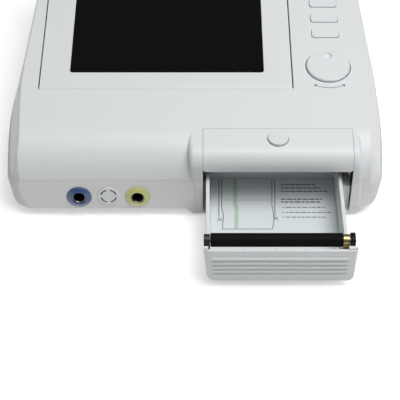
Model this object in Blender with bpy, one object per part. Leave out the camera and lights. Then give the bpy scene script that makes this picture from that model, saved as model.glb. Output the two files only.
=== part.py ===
"""Bedside cardiotocograph: a wedge-shaped casing with a fold-up display, a jog knob, a column of
keys, two probe sockets and a pull-out chart-paper drawer that carries the platen roller.

Metres, +Z up. The front faces -Y. Shapes are given with Y = 0 on the front of the casing and
Z = 0 on the table. The whole part then moves along Y, so that its origin lies on the table
under the middle of its length with the drawer open, as photographed.
"""
import bpy
import bmesh
from math import cos, sin, tan, pi, radians
from mathutils import Matrix, Vector

# Clearances shared by every piece
seat_gap = 0.0003
running_gap = 0.00035
cut_overrun = 0.004
corner_steps = 3
arc_steps = 8
small_round_steps = 12
round_steps = 24
fine_steps = 36
smooth_angle_deg = 35

# Casing
half_width = 0.1766
body_depth = 0.300
bottom_z = 0.009
widest_z = 0.034
seam_z = 0.0428
roof_front_z = 0.0730
roof_slope_deg = 4.76
roof_edge_inset = 0.0145
bottom_edge_inset = 0.003
wall = 0.0026
front_lean_deg = 5.0
front_arc_radius = 0.040
corner_radius = 0.022
rear_corner_radius = 0.020
side_bow = 0.0051
side_bow_y = 0.110
side_steps = 7
right_taper_y = 0.165
right_taper_share = 0.045
left_taper_y = 0.105
left_taper_share = 0.065
side_run_on_share = 1.5

# Printer bulge at the front right, and the belly below it
bulge_front_y = -0.0004
bulge_left_top_margin = 0.0113
bulge_left_bottom_margin = 0.0065
bulge_right_top_margin = 0.0087
bulge_right_bottom_margin = 0.0122
bulge_lean_deg = 2.0
bulge_arc_radius = 0.016
bulge_depth = 0.060
belly_front_y = 0.0002
belly_left_margin = 0.0090
belly_right_margin = 0.0064
belly_flare = 0.006
belly_bottom_z = 0.0034
belly_rear_margin = 0.002

# Mouth of the drawer bay, and the cover over the printer
mouth_width = 0.1346
mouth_side_margin = 0.0350
mouth_top_z = 0.0556
cover_rear_y = 0.0362

# Drawer
drawer_travel = 0.085
tray_left_gap = 0.0028
tray_right_gap = 0.0092
tray_bottom_z = 0.0105
tray_floor = 0.0025
tray_wall = 0.0033
tray_top_z = 0.0440
tray_length = 0.1200
cheek_top_z = 0.0400
cheek_length = 0.0155
runner_length = 0.026
runner_width = 0.0018
runner_low_z = 0.0230
runner_high_z = 0.0270
catch_width = 0.014
catch_height = 0.0015
label_thickness = 0.0004
label_margin = 0.0012

# Drawer front
front_left_gap = 0.0006
front_right_gap = 0.0020
front_left_draft = 0.0030
front_right_draft = 0.0012
front_bottom_z = 0.0080
front_top_z = 0.0462
front_thickness = 0.0045
front_corner_radius = 0.006
rib_count = 5
rib_top_z = 0.0382
rib_pitch = 0.0053
rib_height = 0.0022
rib_proud = 0.0014
rib_left_margin = 0.0062
rib_right_margin = 0.0072
lip_block_height = 0.0020
lip_block_depth = 0.0030
lip_left_block = 0.0040
lip_right_block = 0.0080
nub_left_margin = 0.0355
nub_right_margin = 0.0182
nub_count = 4
nub_width = 0.0016
nub_height = 0.0009

# Platen roller and its gear train
platen_radius = 0.0060
platen_shaft_radius = 0.0025
platen_z = 0.0480
platen_behind_front = 0.0115
platen_left_gap = 0.0036
platen_right_gap = 0.0058
bush_radius = 0.0052
gear_module = 0.0005
gear_side_gap = 0.0008
gear_width = 0.0042
platen_teeth = 24
idler_teeth = 24
pinion_teeth = 12
gear_play = 0.00022
tooth_root_share = 0.62
tooth_tip_share = 0.24
tooth_depth_share = 1.25
platen_shaft_end = 0.0008
idler_axle_radius = 0.0015
pinion_shaft_radius = 0.0012
bracket_gap = 0.0018
bracket_thickness = 0.0024
bracket_margin = 0.009
bracket_top_z = 0.064
motor_radius = 0.0140
motor_length = 0.0170
motor_shaft_hole_radius = 0.0030

# Rails that carry the drawer
rail_width = 0.0083
rail_top_z = 0.0335
rail_ledge = 0.008
rail_right_front_gap = 0.0010
rail_left_front_gap = 0.0079
rail_end_margin = 0.003

# Thermal print head under the printer cover
head_depth = 0.011
head_height = 0.0045
head_post_width = 0.008
head_post_inset = 0.012

# Release button and drawer latch
button_offset = 0.0002
button_y = 0.0242
button_radius = 0.00925
button_height = 0.0075
button_flange = 0.0014
button_flange_height = 0.0015
button_chamfer = 0.0006
button_proud = 0.0002
button_stem_radius = 0.0030
latch_pivot_y = 0.070
latch_pivot_z = 0.0535
latch_width = 0.009
latch_thickness = 0.0036
latch_pin_radius = 0.0015
latch_ear_thickness = 0.003
latch_ear_radius = 0.0045
latch_hub_radius = 0.0040
latch_nose_length = 0.005
latch_arm_overhang = 0.003

# Fold-up display, in the frame of the sloped deck
lid_left_margin = 0.0322
lid_knob_margin = 0.0347
lid_front_y = 0.0860
lid_rear_margin = 0.0280
lid_thickness = 0.0140
lid_wall = 0.0022
lid_back_thickness = 0.0022
lid_side_seam = 0.0012
lid_front_seam = 0.0004
lid_floor_gap = 0.0006
lid_knuckle_radius = 0.0026
lid_pin_radius = 0.0013
lid_pin_seat = 0.0020
lid_pin_end_gap = 0.0003
window_left_margin = 0.0274
window_right_margin = 0.0261
window_front_margin = 0.0220
window_rear_margin = 0.0230
window_thickness = 0.0015
window_sink = 0.0002
lcd_margin = 0.002
lcd_height = 0.0066
notch_width = 0.040
notch_depth = 0.010

# Jog knob and its push encoder, in the frame of the sloped deck
knob_side_margin = 0.0518
knob_y = 0.1153
knob_radius = 0.0205
knob_proud = 0.0026
knob_sunk = 0.0034
knob_ring_gap = 0.0009
knob_chamfer = 0.0008
knob_dimple_radius = 0.0050
knob_dimple_depth = 0.0025
knob_dimple_share = 0.58
cup_floor_gap = 0.0012
encoder_travel = 0.0008
encoder_shaft_radius = 0.0030
encoder_bore_radius = 0.0050
encoder_size = 0.0160
encoder_height = 0.0120
encoder_neck = 0.0020
encoder_collar_height = 0.0045

# Keys behind the knob, in the frame of the sloped deck
key_knob_margin = 0.0447
key_count = 5
key_rear_margin = 0.0540
key_width = 0.0260
key_length_share = 0.535
key_proud = 0.0012
key_travel = 0.0010
key_side_gap = 0.0004
key_flange = 0.0012
key_flange_height = 0.0010
key_corner_radius = 0.0030
keypad_thickness = 0.0016
keypad_post_radius = 0.0025

# Probe sockets on the front left
socket_left_pitch = 0.0269
socket_right_pitch = 0.0264
socket_z = 0.0242
socket_ring_radius = 0.0113
socket_ring_proud = 0.0030
socket_ring_flange = 0.0020
socket_ring_chamfer = 0.0008
socket_ring_depth = 0.0090
socket_core_radius = 0.0066
socket_core_sunk = 0.0006
socket_bore_radius = 0.0044
socket_core_depth = 0.0180
socket_bore_depth = 0.0140
blank_place_share = 0.55336
blank_z = 0.0256
blank_radius = 0.0100
blank_proud = 0.0012

# Feet and case screws
foot_radius = 0.0090
foot_chamfer_share = 0.2
foot_inset_x = 0.038
foot_inset_y = 0.030
screw_front_margin = 0.0166
screw_rear_margin = 0.0246
screw_front_y = 0.060
screw_rear_inset_y = 0.055
screw_head_radius = 0.0034
screw_head_height = 0.0026
screw_shank_radius = 0.0017
screw_length = 0.052
screw_sunk = 0.0012
boss_radius = 0.0056

# Inside the casing
board_left_margin = 0.0386
board_bay_margin = 0.0320
board_front_y = 0.050
board_speaker_gap = 0.012
board_thickness = 0.0016
board_lift = 0.008
board_boss_radius = 0.004
board_boss_inset = 0.008
supply_width = 0.088
supply_side_margin = 0.0486
supply_bay_margin = 0.0403
supply_inlet_gap = 0.018
supply_height = 0.034
battery_speaker_gap = 0.021
battery_supply_gap = 0.005
battery_length = 0.062
battery_rear_margin = 0.022
battery_height = 0.022
speaker_side_margin = 0.0766
speaker_rear_margin = 0.064
speaker_radius = 0.024
speaker_magnet_radius = 0.015
speaker_frame_height = 0.006
speaker_height = 0.016
speaker_slot_count = 5
speaker_slot_pitch = 0.0075
speaker_slot_width = 0.0030
speaker_slot_length = 0.030

# Rear panel
inlet_side_margin = 0.0586
rear_row_z = 0.0255
inlet_flange_width = 0.0340
inlet_flange_height = 0.0270
inlet_flange = 0.0020
inlet_body_width = 0.0290
inlet_body_height = 0.0220
inlet_body_depth = 0.0240
inlet_cavity_width = 0.0240
inlet_cavity_height = 0.0165
inlet_cavity_depth = 0.0180
inlet_blade_length = 0.0120
inlet_blade_width = 0.0040
inlet_blade_thickness = 0.0020
inlet_blade_pitch = 0.0070
switch_inlet_pitch = 0.0440
switch_frame_width = 0.0150
switch_frame_height = 0.0210
switch_flange = 0.0015
switch_frame_wall = 0.0016
switch_body_depth = 0.0150
rocker_tilt_deg = 8.0
rocker_radius = 0.0085
rocker_thickness = 0.0030
port_side_margin = 0.1066
port_width = 0.0160
port_height = 0.0135
port_depth = 0.0180
port_proud = 0.0008
port_cavity_width = 0.0118
port_cavity_height = 0.0070
port_cavity_depth = 0.0120
post_switch_pitch = 0.0440
post_base_radius = 0.0055
post_base_length = 0.0030
post_radius = 0.0030
post_length = 0.0090

# Places and sizes that follow from the ones above
roof_slope = radians(roof_slope_deg)
floor_z = bottom_z + wall
belly_floor_z = belly_bottom_z + wall
mouth_right_x = half_width - mouth_side_margin
mouth_left_x = mouth_right_x - mouth_width
bulge_left_top_x = mouth_left_x - bulge_left_top_margin
bulge_left_bottom_x = mouth_left_x - bulge_left_bottom_margin
bulge_right_top_x = mouth_right_x + bulge_right_top_margin
bulge_right_bottom_x = mouth_right_x + bulge_right_bottom_margin
belly_left_x = mouth_left_x - belly_left_margin
belly_right_x = mouth_right_x + belly_right_margin
tray_left_x = mouth_left_x + tray_left_gap
tray_right_x = mouth_right_x - tray_right_gap
front_left_x = mouth_left_x + front_left_gap
front_right_x = mouth_right_x - front_right_gap
nub_first_x = front_left_x + nub_left_margin
nub_pitch = (front_right_x - nub_right_margin - nub_first_x) / (nub_count - 1)
platen_left_x = tray_left_x + platen_left_gap
platen_right_x = tray_right_x - platen_right_gap
gear_left_x = tray_right_x + gear_side_gap
gear_right_x = gear_left_x + gear_width
bracket_left_x = gear_right_x + bracket_gap
button_x = (mouth_left_x + mouth_right_x) / 2 + button_offset
deck_matrix = Matrix.Translation((0, 0, roof_front_z)) @ Matrix.Rotation(roof_slope, 4, "X")
drawer_front_y = bulge_front_y - drawer_travel
drawer_back_of_front_y = drawer_front_y + front_thickness
tray_front_y = drawer_back_of_front_y + seat_gap
tray_rear_y = tray_front_y + tray_length
platen_y = drawer_front_y + platen_behind_front
platen_closed_y = platen_y + drawer_travel
idler_y = platen_closed_y + gear_module * (platen_teeth + idler_teeth) / 2 + gear_play
pinion_y = idler_y + gear_module * (idler_teeth + pinion_teeth) / 2 + gear_play
groove_rear_y = tray_rear_y + drawer_travel + seat_gap
rail_rear_y = groove_rear_y + rail_end_margin
rail_right_front_y = drawer_back_of_front_y + drawer_travel + rail_right_front_gap
rail_left_front_y = drawer_back_of_front_y + drawer_travel + rail_left_front_gap
belly_rear_y = rail_rear_y + belly_rear_margin + wall
catch_front_y = tray_rear_y + drawer_travel - tray_wall
knob_x = half_width - knob_side_margin
lid_left_x = -half_width + lid_left_margin
lid_right_x = knob_x - lid_knob_margin
lid_rear_y = body_depth - lid_rear_margin
lid_axis_y = lid_front_y + lid_knuckle_radius
window_left_x = lid_left_x + window_left_margin
window_right_x = lid_right_x - window_right_margin
window_front_y = lid_front_y + window_front_margin
window_rear_y = lid_rear_y - window_rear_margin
key_first_y = knob_y + key_knob_margin
key_pitch = (body_depth - key_rear_margin - key_first_y) / (key_count - 1)
key_length = key_pitch * key_length_share
key_round = min(key_corner_radius, key_length / 3)
cup_radius = knob_radius + knob_ring_gap
cup_floor_z = -knob_sunk - cup_floor_gap
keypad_top_z = -wall - seat_gap - key_flange_height - key_travel - seat_gap
blank_x = -half_width + blank_place_share * (half_width + bulge_left_bottom_x)
socket_left_x = blank_x - socket_left_pitch
socket_right_x = blank_x + socket_right_pitch
screw_front_x = half_width - screw_front_margin
screw_rear_x = half_width - screw_rear_margin
screw_rear_y = body_depth - screw_rear_inset_y
speaker_x = -half_width + speaker_side_margin
speaker_y = body_depth - speaker_rear_margin
board_left_x = -half_width + board_left_margin
board_right_x = mouth_left_x - board_bay_margin
board_rear_y = speaker_y - speaker_radius - board_speaker_gap
supply_right_x = half_width - supply_side_margin
supply_left_x = supply_right_x - supply_width
supply_front_y = groove_rear_y + supply_bay_margin
supply_rear_y = body_depth - inlet_body_depth - supply_inlet_gap
battery_left_x = speaker_x + speaker_radius + battery_speaker_gap
battery_right_x = supply_left_x - battery_supply_gap
battery_rear_y = body_depth - battery_rear_margin
battery_front_y = battery_rear_y - battery_length
inlet_x = half_width - inlet_side_margin
switch_x = inlet_x - switch_inlet_pitch
post_x = switch_x - post_switch_pitch
port_x = -half_width + port_side_margin
front_reach_y = drawer_front_y - rib_proud
rear_reach_y = body_depth + post_base_length + post_length
middle_y = (front_reach_y + rear_reach_y) / 2


def material(name, colour, roughness, metallic=0.0):
    """A plain Principled finish."""
    finish = bpy.data.materials.new(name)
    finish.use_nodes = True
    shader = finish.node_tree.nodes["Principled BSDF"]
    shader.inputs["Base Color"].default_value = (*colour, 1.0)
    shader.inputs["Roughness"].default_value = roughness
    shader.inputs["Metallic"].default_value = metallic
    return finish


def shape(name, bm, finish=None):
    """Turn a bmesh into an object with outward faces."""
    bmesh.ops.recalc_face_normals(bm, faces=bm.faces)
    mesh = bpy.data.meshes.new(name)
    bm.to_mesh(mesh)
    bm.free()
    piece = bpy.data.objects.new(name, mesh)
    bpy.context.collection.objects.link(piece)
    if finish:
        mesh.materials.append(finish)
    return piece


def prism(name, outline, axis, low, high, finish=None):
    """Extrude a flat outline along an axis: the outline's two values fill the other two axes."""
    bm = bmesh.new()
    rings = []
    for level in (low, high):
        ring = []
        for first, second in outline:
            place = [first, second]
            place.insert("XYZ".index(axis), level)
            ring.append(bm.verts.new(place))
        rings.append(ring)
    bm.faces.new(rings[0])
    bm.faces.new(rings[1])
    count = len(outline)
    for i in range(count):
        j = (i + 1) % count
        bm.faces.new((rings[0][i], rings[0][j], rings[1][j], rings[1][i]))
    return shape(name, bm, finish)


def box(name, low, high, finish=None):
    """A box between two corners."""
    outline = [(low[0], low[1]), (high[0], low[1]), (high[0], high[1]), (low[0], high[1])]
    return prism(name, outline, "Z", low[2], high[2], finish)


def circle(centre, radius, steps=round_steps):
    """Points round a circle."""
    turns = [2 * pi * i / steps for i in range(steps)]
    return [(centre[0] + radius * cos(t), centre[1] + radius * sin(t)) for t in turns]


def rounded(low, high, radius, steps=corner_steps):
    """A rectangle with rounded corners, anticlockwise."""
    corners = ((high[0] - radius, low[1] + radius, -0.5), (high[0] - radius, high[1] - radius, 0.0),
               (low[0] + radius, high[1] - radius, 0.5), (low[0] + radius, low[1] + radius, 1.0))
    outline = []
    for x, y, start in corners:
        for i in range(steps + 1):
            turn = pi * (start + i / steps / 2)
            outline.append((x + radius * cos(turn), y + radius * sin(turn)))
    return outline


def rod(name, axis, centre, radius, low, high, finish=None, steps=round_steps):
    """A round bar along an axis."""
    piece = prism(name, circle(centre, radius, steps), axis, low, high, finish)
    smooth(piece)
    return piece


def smooth(piece):
    """Shade a round piece smooth, with its edges kept."""
    piece.data.shade_smooth()
    piece.data.set_sharp_from_angle(angle=radians(smooth_angle_deg))


def combine(target, tool, operation):
    """Cut, join or intersect target with tool, and remove the tool."""
    step = target.modifiers.new(operation.lower(), "BOOLEAN")
    step.operation = operation
    step.solver = "EXACT"
    step.object = tool
    graph = bpy.context.evaluated_depsgraph_get()
    mesh = bpy.data.meshes.new_from_object(target.evaluated_get(graph))
    target.modifiers.clear()
    target.data = mesh
    bpy.data.objects.remove(tool)
    return target


def cut(target, tool):
    """Take the tool's shape out of the target."""
    return combine(target, tool, "DIFFERENCE")


def join(target, tool):
    """Grow the tool's shape onto the target."""
    return combine(target, tool, "UNION")


def on_deck(piece):
    """Place a shape that is drawn in the frame of the sloped deck."""
    piece.matrix_world = deck_matrix @ piece.matrix_world
    return piece


def copy_of(piece, name, finish):
    """A second object with a mesh of its own."""
    twin = bpy.data.objects.new(name, piece.data.copy())
    bpy.context.collection.objects.link(twin)
    twin.data.materials.clear()
    twin.data.materials.append(finish)
    return twin


def side_x(y, taper_y, taper_share):
    """Half width of the casing at a depth: bowed at the front, drawn in towards the rear."""
    bow = side_bow * (max(side_bow_y - y, 0) / (side_bow_y - corner_radius)) ** 2
    return half_width - bow - taper_share * max(y - taper_y, 0)


def side_outline(inset, taper_y, taper_share):
    """One side of the plan outline, from the front edge to the rear edge."""
    front, rear = inset, body_depth - inset
    radius, rear_radius = corner_radius - inset, rear_corner_radius - inset
    points = []
    x = side_x(front + radius, taper_y, taper_share) - inset
    for i in range(arc_steps):
        turn = pi / 2 * i / arc_steps
        points.append((x - radius + radius * sin(turn), front + radius - radius * cos(turn)))
    for i in range(side_steps + 1):
        y = front + radius + (rear - rear_radius - front - radius) * i / side_steps
        points.append((side_x(y, taper_y, taper_share) - inset, y))
    x = points[-1][0]
    for i in range(1, arc_steps + 1):
        turn = pi / 2 * i / arc_steps
        points.append((x - rear_radius + rear_radius * cos(turn),
                       rear - rear_radius + rear_radius * sin(turn)))
    return points


def plan_outline(inset):
    """The whole plan outline at the widest level, anticlockwise."""
    right = side_outline(inset, right_taper_y, right_taper_share)
    left = side_outline(inset, left_taper_y, left_taper_share)
    return right + [(-x, y) for x, y in reversed(left)]


def roof_z(y, inset=0):
    """Height of the roof, or of its underside at an inset."""
    return roof_front_z - inset / cos(roof_slope) + y * tan(roof_slope)


def side_solid(name, inset):
    """The casing's plan, drawn in towards the bottom and towards the roof's edges."""
    outline = plan_outline(inset)
    run_on = side_run_on_share
    levels = ((lambda y: bottom_z + inset, bottom_edge_inset), (lambda y: widest_z, 0),
              (lambda y: widest_z + (roof_z(y) - widest_z) * run_on, roof_edge_inset * run_on))
    bm = bmesh.new()
    rings = []
    for level, draw_in in levels:
        share = 1 - draw_in / half_width
        rings.append([bm.verts.new((x * share, y, level(y))) for x, y in outline])
    bm.faces.new(rings[0])
    bm.faces.new(rings[-1])
    count = len(outline)
    for low, high in zip(rings, rings[1:]):
        for i in range(count):
            j = (i + 1) % count
            bm.faces.new((low[i], low[j], high[j], high[i]))
    bmesh.ops.triangulate(bm, faces=[face for face in bm.faces if len(face.verts) == 4])
    return shape(name, bm)


def front_profile(front_y, low_z, rear_y, lean_deg, radius, inset):
    """Side view of a leaning front that rolls over into the sloped roof."""
    lean = radians(lean_deg)
    foot_y = front_y + (low_z - bottom_z) * tan(lean) + inset / cos(lean)
    roof_at_zero = roof_z(0, inset)
    rise = (roof_at_zero + foot_y * tan(roof_slope) - low_z) / (cos(lean) - sin(lean) * tan(roof_slope))
    corner = Vector((foot_y + rise * sin(lean), low_z + rise * cos(lean)))
    turn = pi / 2 - lean - roof_slope
    bend = radius - inset
    start = corner - Vector((sin(lean), cos(lean))) * bend * tan(turn / 2)
    centre = start + Vector((cos(lean), -sin(lean))) * bend
    points = [(foot_y, low_z)]
    for i in range(arc_steps + 1):
        angle = pi - lean - turn * i / arc_steps
        points.append((centre.x + bend * cos(angle), centre.y + bend * sin(angle)))
    points.append((rear_y, roof_z(rear_y, inset)))
    points.append((rear_y, low_z))
    return points


def body_solid(name, inset):
    """The casing's outer shape, or its hollow at an inset of one wall."""
    piece = side_solid(name, inset)
    outline = front_profile(0, bottom_z - cut_overrun, body_depth + cut_overrun,
                            front_lean_deg, front_arc_radius, inset)
    profile = prism("profile", outline, "X", -half_width - cut_overrun, half_width + cut_overrun)
    combine(piece, profile, "INTERSECT")
    join(piece, bulge_solid(inset))
    join(piece, belly_solid(inset))
    return piece


def bulge_solid(inset):
    """The boxier front over the printer: same roof, tighter roll, steeper face."""
    outline = front_profile(bulge_front_y, bottom_z + inset, bulge_depth,
                            bulge_lean_deg, bulge_arc_radius, inset)
    bm = bmesh.new()
    slope_z = bulge_left_top_x - bulge_left_bottom_x, bulge_right_top_x - bulge_right_bottom_x
    height = mouth_top_z - bottom_z
    left = [bm.verts.new((bulge_left_bottom_x + inset + slope_z[0] * (z - bottom_z) / height, y, z))
            for y, z in outline]
    right = [bm.verts.new((bulge_right_bottom_x - inset + slope_z[1] * (z - bottom_z) / height, y, z))
             for y, z in outline]
    bm.faces.new(left)
    bm.faces.new(right)
    count = len(outline)
    for i in range(count):
        j = (i + 1) % count
        bm.faces.new((left[i], left[j], right[j], right[i]))
    return shape("bulge", bm)


def belly_solid(inset):
    """The shallow keel under the drawer bay."""
    top = bottom_z + inset + wall / 2
    low = belly_bottom_z + inset
    flare = belly_flare * (top - low) / (bottom_z - belly_bottom_z)
    outline = [(belly_left_x + inset, low), (belly_right_x - inset, low),
               (belly_right_x - inset + flare, top), (belly_left_x + inset - flare, top)]
    return prism("belly", outline, "Y", belly_front_y + inset, belly_rear_y - inset)


def slab(low_z, high_z):
    """A box wider and deeper than the casing between two heights."""
    reach = half_width + cut_overrun
    return box("slab", (-reach, -cut_overrun, low_z), (reach, body_depth + cut_overrun, high_z))


def on_front(piece, x, z):
    """Place a shape, drawn about +Z, square on the leaning lower front."""
    lean = radians(front_lean_deg)
    seat = Matrix.Translation((x, (z - bottom_z) * tan(lean), z)) @ Matrix.Rotation(pi / 2 - lean, 4, "X")
    piece.matrix_world = seat @ piece.matrix_world
    return piece


def turned(name, outline, finish=None, steps=round_steps):
    """Turn a closed outline of radius and height about +Z."""
    bm = bmesh.new()
    rings = []
    for radius, z in outline:
        count = steps if radius > 0 else 1
        turns = [2 * pi * i / steps for i in range(count)]
        rings.append([bm.verts.new((radius * cos(t), radius * sin(t), z)) for t in turns])
    for low, high in zip(rings, rings[1:] + rings[:1]):
        for i in range(steps):
            j = (i + 1) % steps
            corners = [low[i % len(low)], low[j % len(low)], high[j % len(high)], high[i % len(high)]]
            face = list(dict.fromkeys(corners))
            if len(face) > 2:
                bm.faces.new(face)
    piece = shape(name, bm, finish)
    smooth(piece)
    return piece


def moved(piece, x, y, z=0):
    """Move a shape drawn at the origin to its place."""
    piece.matrix_world = Matrix.Translation((x, y, z)) @ piece.matrix_world
    return piece


def screw_places():
    """Where the four case screws stand."""
    return [(-screw_front_x, screw_front_y), (screw_front_x, screw_front_y),
            (-screw_rear_x, screw_rear_y), (screw_rear_x, screw_rear_y)]


def board_boss_places():
    """Where the main board stands on its bosses."""
    return [(x, y) for x in (board_left_x + board_boss_inset, board_right_x - board_boss_inset)
            for y in (board_front_y + board_boss_inset, board_rear_y - board_boss_inset)]


def bottom_case(shell, finish):
    """Lower casing: tub with belly, front mouth, board bosses, screw tubes and rear cut-outs."""
    case = copy_of(shell, "bottom_case", finish)
    combine(case, slab(belly_bottom_z - cut_overrun, seam_z - seat_gap / 2), "INTERSECT")
    for x, y in board_boss_places():
        join(case, rod("boss", "Z", (x, y), board_boss_radius, floor_z - wall / 2, floor_z + board_lift))
    for x, y in screw_places():
        join(case, rod("tube", "Z", (x, y), boss_radius, bottom_z + wall / 2, seam_z - seat_gap))
    for x, y in screw_places():
        deep = bottom_z + screw_sunk + screw_head_height + seat_gap
        cut(case, rod("bore", "Z", (x, y), screw_shank_radius + running_gap,
                      bottom_z - cut_overrun, seam_z + cut_overrun))
        cut(case, rod("counterbore", "Z", (x, y), screw_head_radius + running_gap,
                      bottom_z - cut_overrun, deep))
    cut(case, box("mouth", (mouth_left_x, -cut_overrun, belly_floor_z),
                  (mouth_right_x, wall + cut_overrun, seam_z + cut_overrun)))
    for x in (socket_left_x, socket_right_x):
        cut(case, on_front(rod("hole", "Z", (0, 0), socket_ring_radius - socket_ring_flange + running_gap,
                               -wall - cut_overrun, cut_overrun), x, socket_z))
    for index in range(speaker_slot_count):
        y = speaker_y + (index - (speaker_slot_count - 1) / 2) * speaker_slot_pitch
        outline = rounded((speaker_x - speaker_slot_length / 2, y - speaker_slot_width / 2),
                          (speaker_x + speaker_slot_length / 2, y + speaker_slot_width / 2),
                          speaker_slot_width / 2 - seat_gap / 2)
        cut(case, prism("slot", outline, "Z", bottom_z - cut_overrun, floor_z + cut_overrun))
    for x, width, height in ((inlet_x, inlet_body_width, inlet_body_height),
                             (switch_x, switch_frame_width, switch_frame_height),
                             (port_x, port_width, port_height)):
        cut(case, box("hole", (x - width / 2 - seat_gap, body_depth - wall - cut_overrun,
                               rear_row_z - height / 2 - seat_gap),
                      (x + width / 2 + seat_gap, body_depth + cut_overrun,
                       rear_row_z + height / 2 + seat_gap)))
    cut(case, rod("hole", "Y", (post_x, rear_row_z), post_radius + running_gap,
                  body_depth - wall - cut_overrun, body_depth + cut_overrun))
    return case


def lid_recess(grow, depth):
    """The pocket that the display folds into, with a finger notch behind it."""
    low = (lid_left_x - lid_side_seam - grow, lid_front_y - lid_front_seam - grow)
    high = (lid_right_x + lid_side_seam + grow, lid_rear_y + lid_side_seam + grow)
    pocket = box("pocket", (*low, -depth), (*high, cut_overrun))
    middle = (lid_left_x + lid_right_x) / 2
    notch = box("notch", (middle - notch_width / 2 - grow, lid_rear_y - wall, -depth),
                (middle + notch_width / 2 + grow, lid_rear_y + lid_side_seam + notch_depth + grow,
                 cut_overrun))
    return join(pocket, notch)


def key_places():
    """Middle of each key along the deck."""
    return [key_first_y + index * key_pitch for index in range(key_count)]


def keypad_post_places():
    """Where the keypad board hangs from the roof."""
    reach = key_width / 2 + key_flange + keypad_post_radius
    ends = (key_places()[0], key_places()[-1])
    return [(knob_x + side * reach, y) for side in (-1, 1) for y in ends]


def top_cover(shell, outer, finish):
    """Upper casing: sloped deck with the display pocket, the knob's cup and the key holes."""
    cover = copy_of(shell, "top_cover", finish)
    high_z = roof_z(body_depth) + cut_overrun
    combine(cover, slab(seam_z + seat_gap / 2, high_z), "INTERSECT")
    pan = on_deck(lid_recess(wall, lid_thickness + lid_floor_gap + wall))
    inside = copy_of(outer, "inside", finish)
    combine(pan, inside, "INTERSECT")
    join(cover, pan)
    join(cover, on_deck(rod("cup", "Z", (knob_x, knob_y), cup_radius + wall,
                            cup_floor_z - wall, -wall / 2)))
    for x, y in screw_places():
        boss = rod("boss", "Z", (x, y), boss_radius, seam_z + seat_gap, roof_z(y, wall / 2))
        join(cover, combine(boss, copy_of(outer, "inside", finish), "INTERSECT"))
    for side in (-1, 1):
        join(cover, latch_ear(side))
    for x, y in keypad_post_places():
        join(cover, on_deck(rod("post", "Z", (x, y), keypad_post_radius, keypad_top_z + seat_gap,
                                -wall / 2, steps=small_round_steps)))
    cut(cover, on_deck(lid_recess(0, lid_thickness + lid_floor_gap)))
    cut(cover, on_deck(rod("well", "Z", (knob_x, knob_y), cup_radius, cup_floor_z, cut_overrun)))
    cut(cover, on_deck(rod("bore", "Z", (knob_x, knob_y), encoder_shaft_radius + running_gap,
                           cup_floor_z - wall - cut_overrun, cut_overrun)))
    for y in key_places():
        low = (knob_x - key_width / 2 - key_side_gap, y - key_length / 2 - key_side_gap)
        high = (knob_x + key_width / 2 + key_side_gap, y + key_length / 2 + key_side_gap)
        cut(cover, on_deck(prism("hole", rounded(low, high, key_round), "Z",
                                 -wall - cut_overrun, cut_overrun)))
    cut(cover, box("mouth", (mouth_left_x, -cut_overrun, seam_z - cut_overrun),
                   (mouth_right_x, cover_rear_y, high_z)))
    for low_x, high_x in lid_pin_spans():
        cut(cover, on_deck(rod("bore", "X", (lid_axis_y, -lid_knuckle_radius),
                               lid_pin_radius + running_gap, low_x - seat_gap, high_x + seat_gap)))
    for x, y in screw_places():
        cut(cover, rod("pilot", "Z", (x, y), screw_shank_radius + running_gap, seam_z - cut_overrun,
                       bottom_z + screw_sunk + screw_length + seat_gap))
    reach = latch_pin_half_length() + cut_overrun
    cut(cover, rod("bore", "X", (latch_pivot_y, latch_pivot_z), latch_pin_radius + running_gap,
                   button_x - reach, button_x + reach))
    return cover


def lid_pin_spans():
    """From where to where each hinge pin runs along X."""
    reach = lid_side_seam + lid_pin_seat
    return ((lid_left_x - reach, lid_left_x + lid_wall - lid_pin_end_gap),
            (lid_right_x - lid_wall + lid_pin_end_gap, lid_right_x + reach))


def latch_pin_half_length():
    """Half the length of the latch's pin, across both ears."""
    return latch_width / 2 + seat_gap + latch_ear_thickness


def latch_ear(side):
    """An ear that hangs from the roof and holds one end of the latch's pin."""
    near = button_x + side * (latch_width / 2 + seat_gap)
    far = button_x + side * latch_pin_half_length()
    outline = []
    for i in range(arc_steps + 1):
        turn = -pi * i / arc_steps
        outline.append((latch_pivot_y + latch_ear_radius * cos(turn),
                        latch_pivot_z + latch_ear_radius * sin(turn)))
    outline.append((latch_pivot_y - latch_ear_radius, roof_z(latch_pivot_y - latch_ear_radius, wall / 2)))
    outline.append((latch_pivot_y + latch_ear_radius, roof_z(latch_pivot_y + latch_ear_radius, wall / 2)))
    return prism("ear", outline, "X", min(near, far), max(near, far))


def printer_cover(shell, finish):
    """The separate skin over the printer, with the hole for its release button."""
    cover = copy_of(shell, "printer_cover", finish)
    combine(cover, box("span", (mouth_left_x + seat_gap, -cut_overrun, mouth_top_z),
                       (mouth_right_x - seat_gap, cover_rear_y - seat_gap,
                        roof_z(body_depth))), "INTERSECT")
    cut(cover, rod("hole", "Z", (button_x, button_y), button_radius + running_gap,
                   mouth_top_z, roof_z(body_depth)))
    return cover


def release_button(finish):
    """Round button with a retaining flange and a stem that reaches down to the latch."""
    top = roof_z(button_y + button_radius) + button_proud
    low = top - button_height
    foot = latch_pivot_z + latch_thickness / 2 + seat_gap
    rim = button_radius + button_flange
    outline = [(0, foot), (button_stem_radius, foot), (button_stem_radius, low),
               (rim, low), (rim, low + button_flange_height),
               (button_radius, low + button_flange_height), (button_radius, top - button_chamfer),
               (button_radius - button_chamfer, top), (0, top)]
    return moved(turned("release_button", outline, finish), button_x, button_y)


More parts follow.
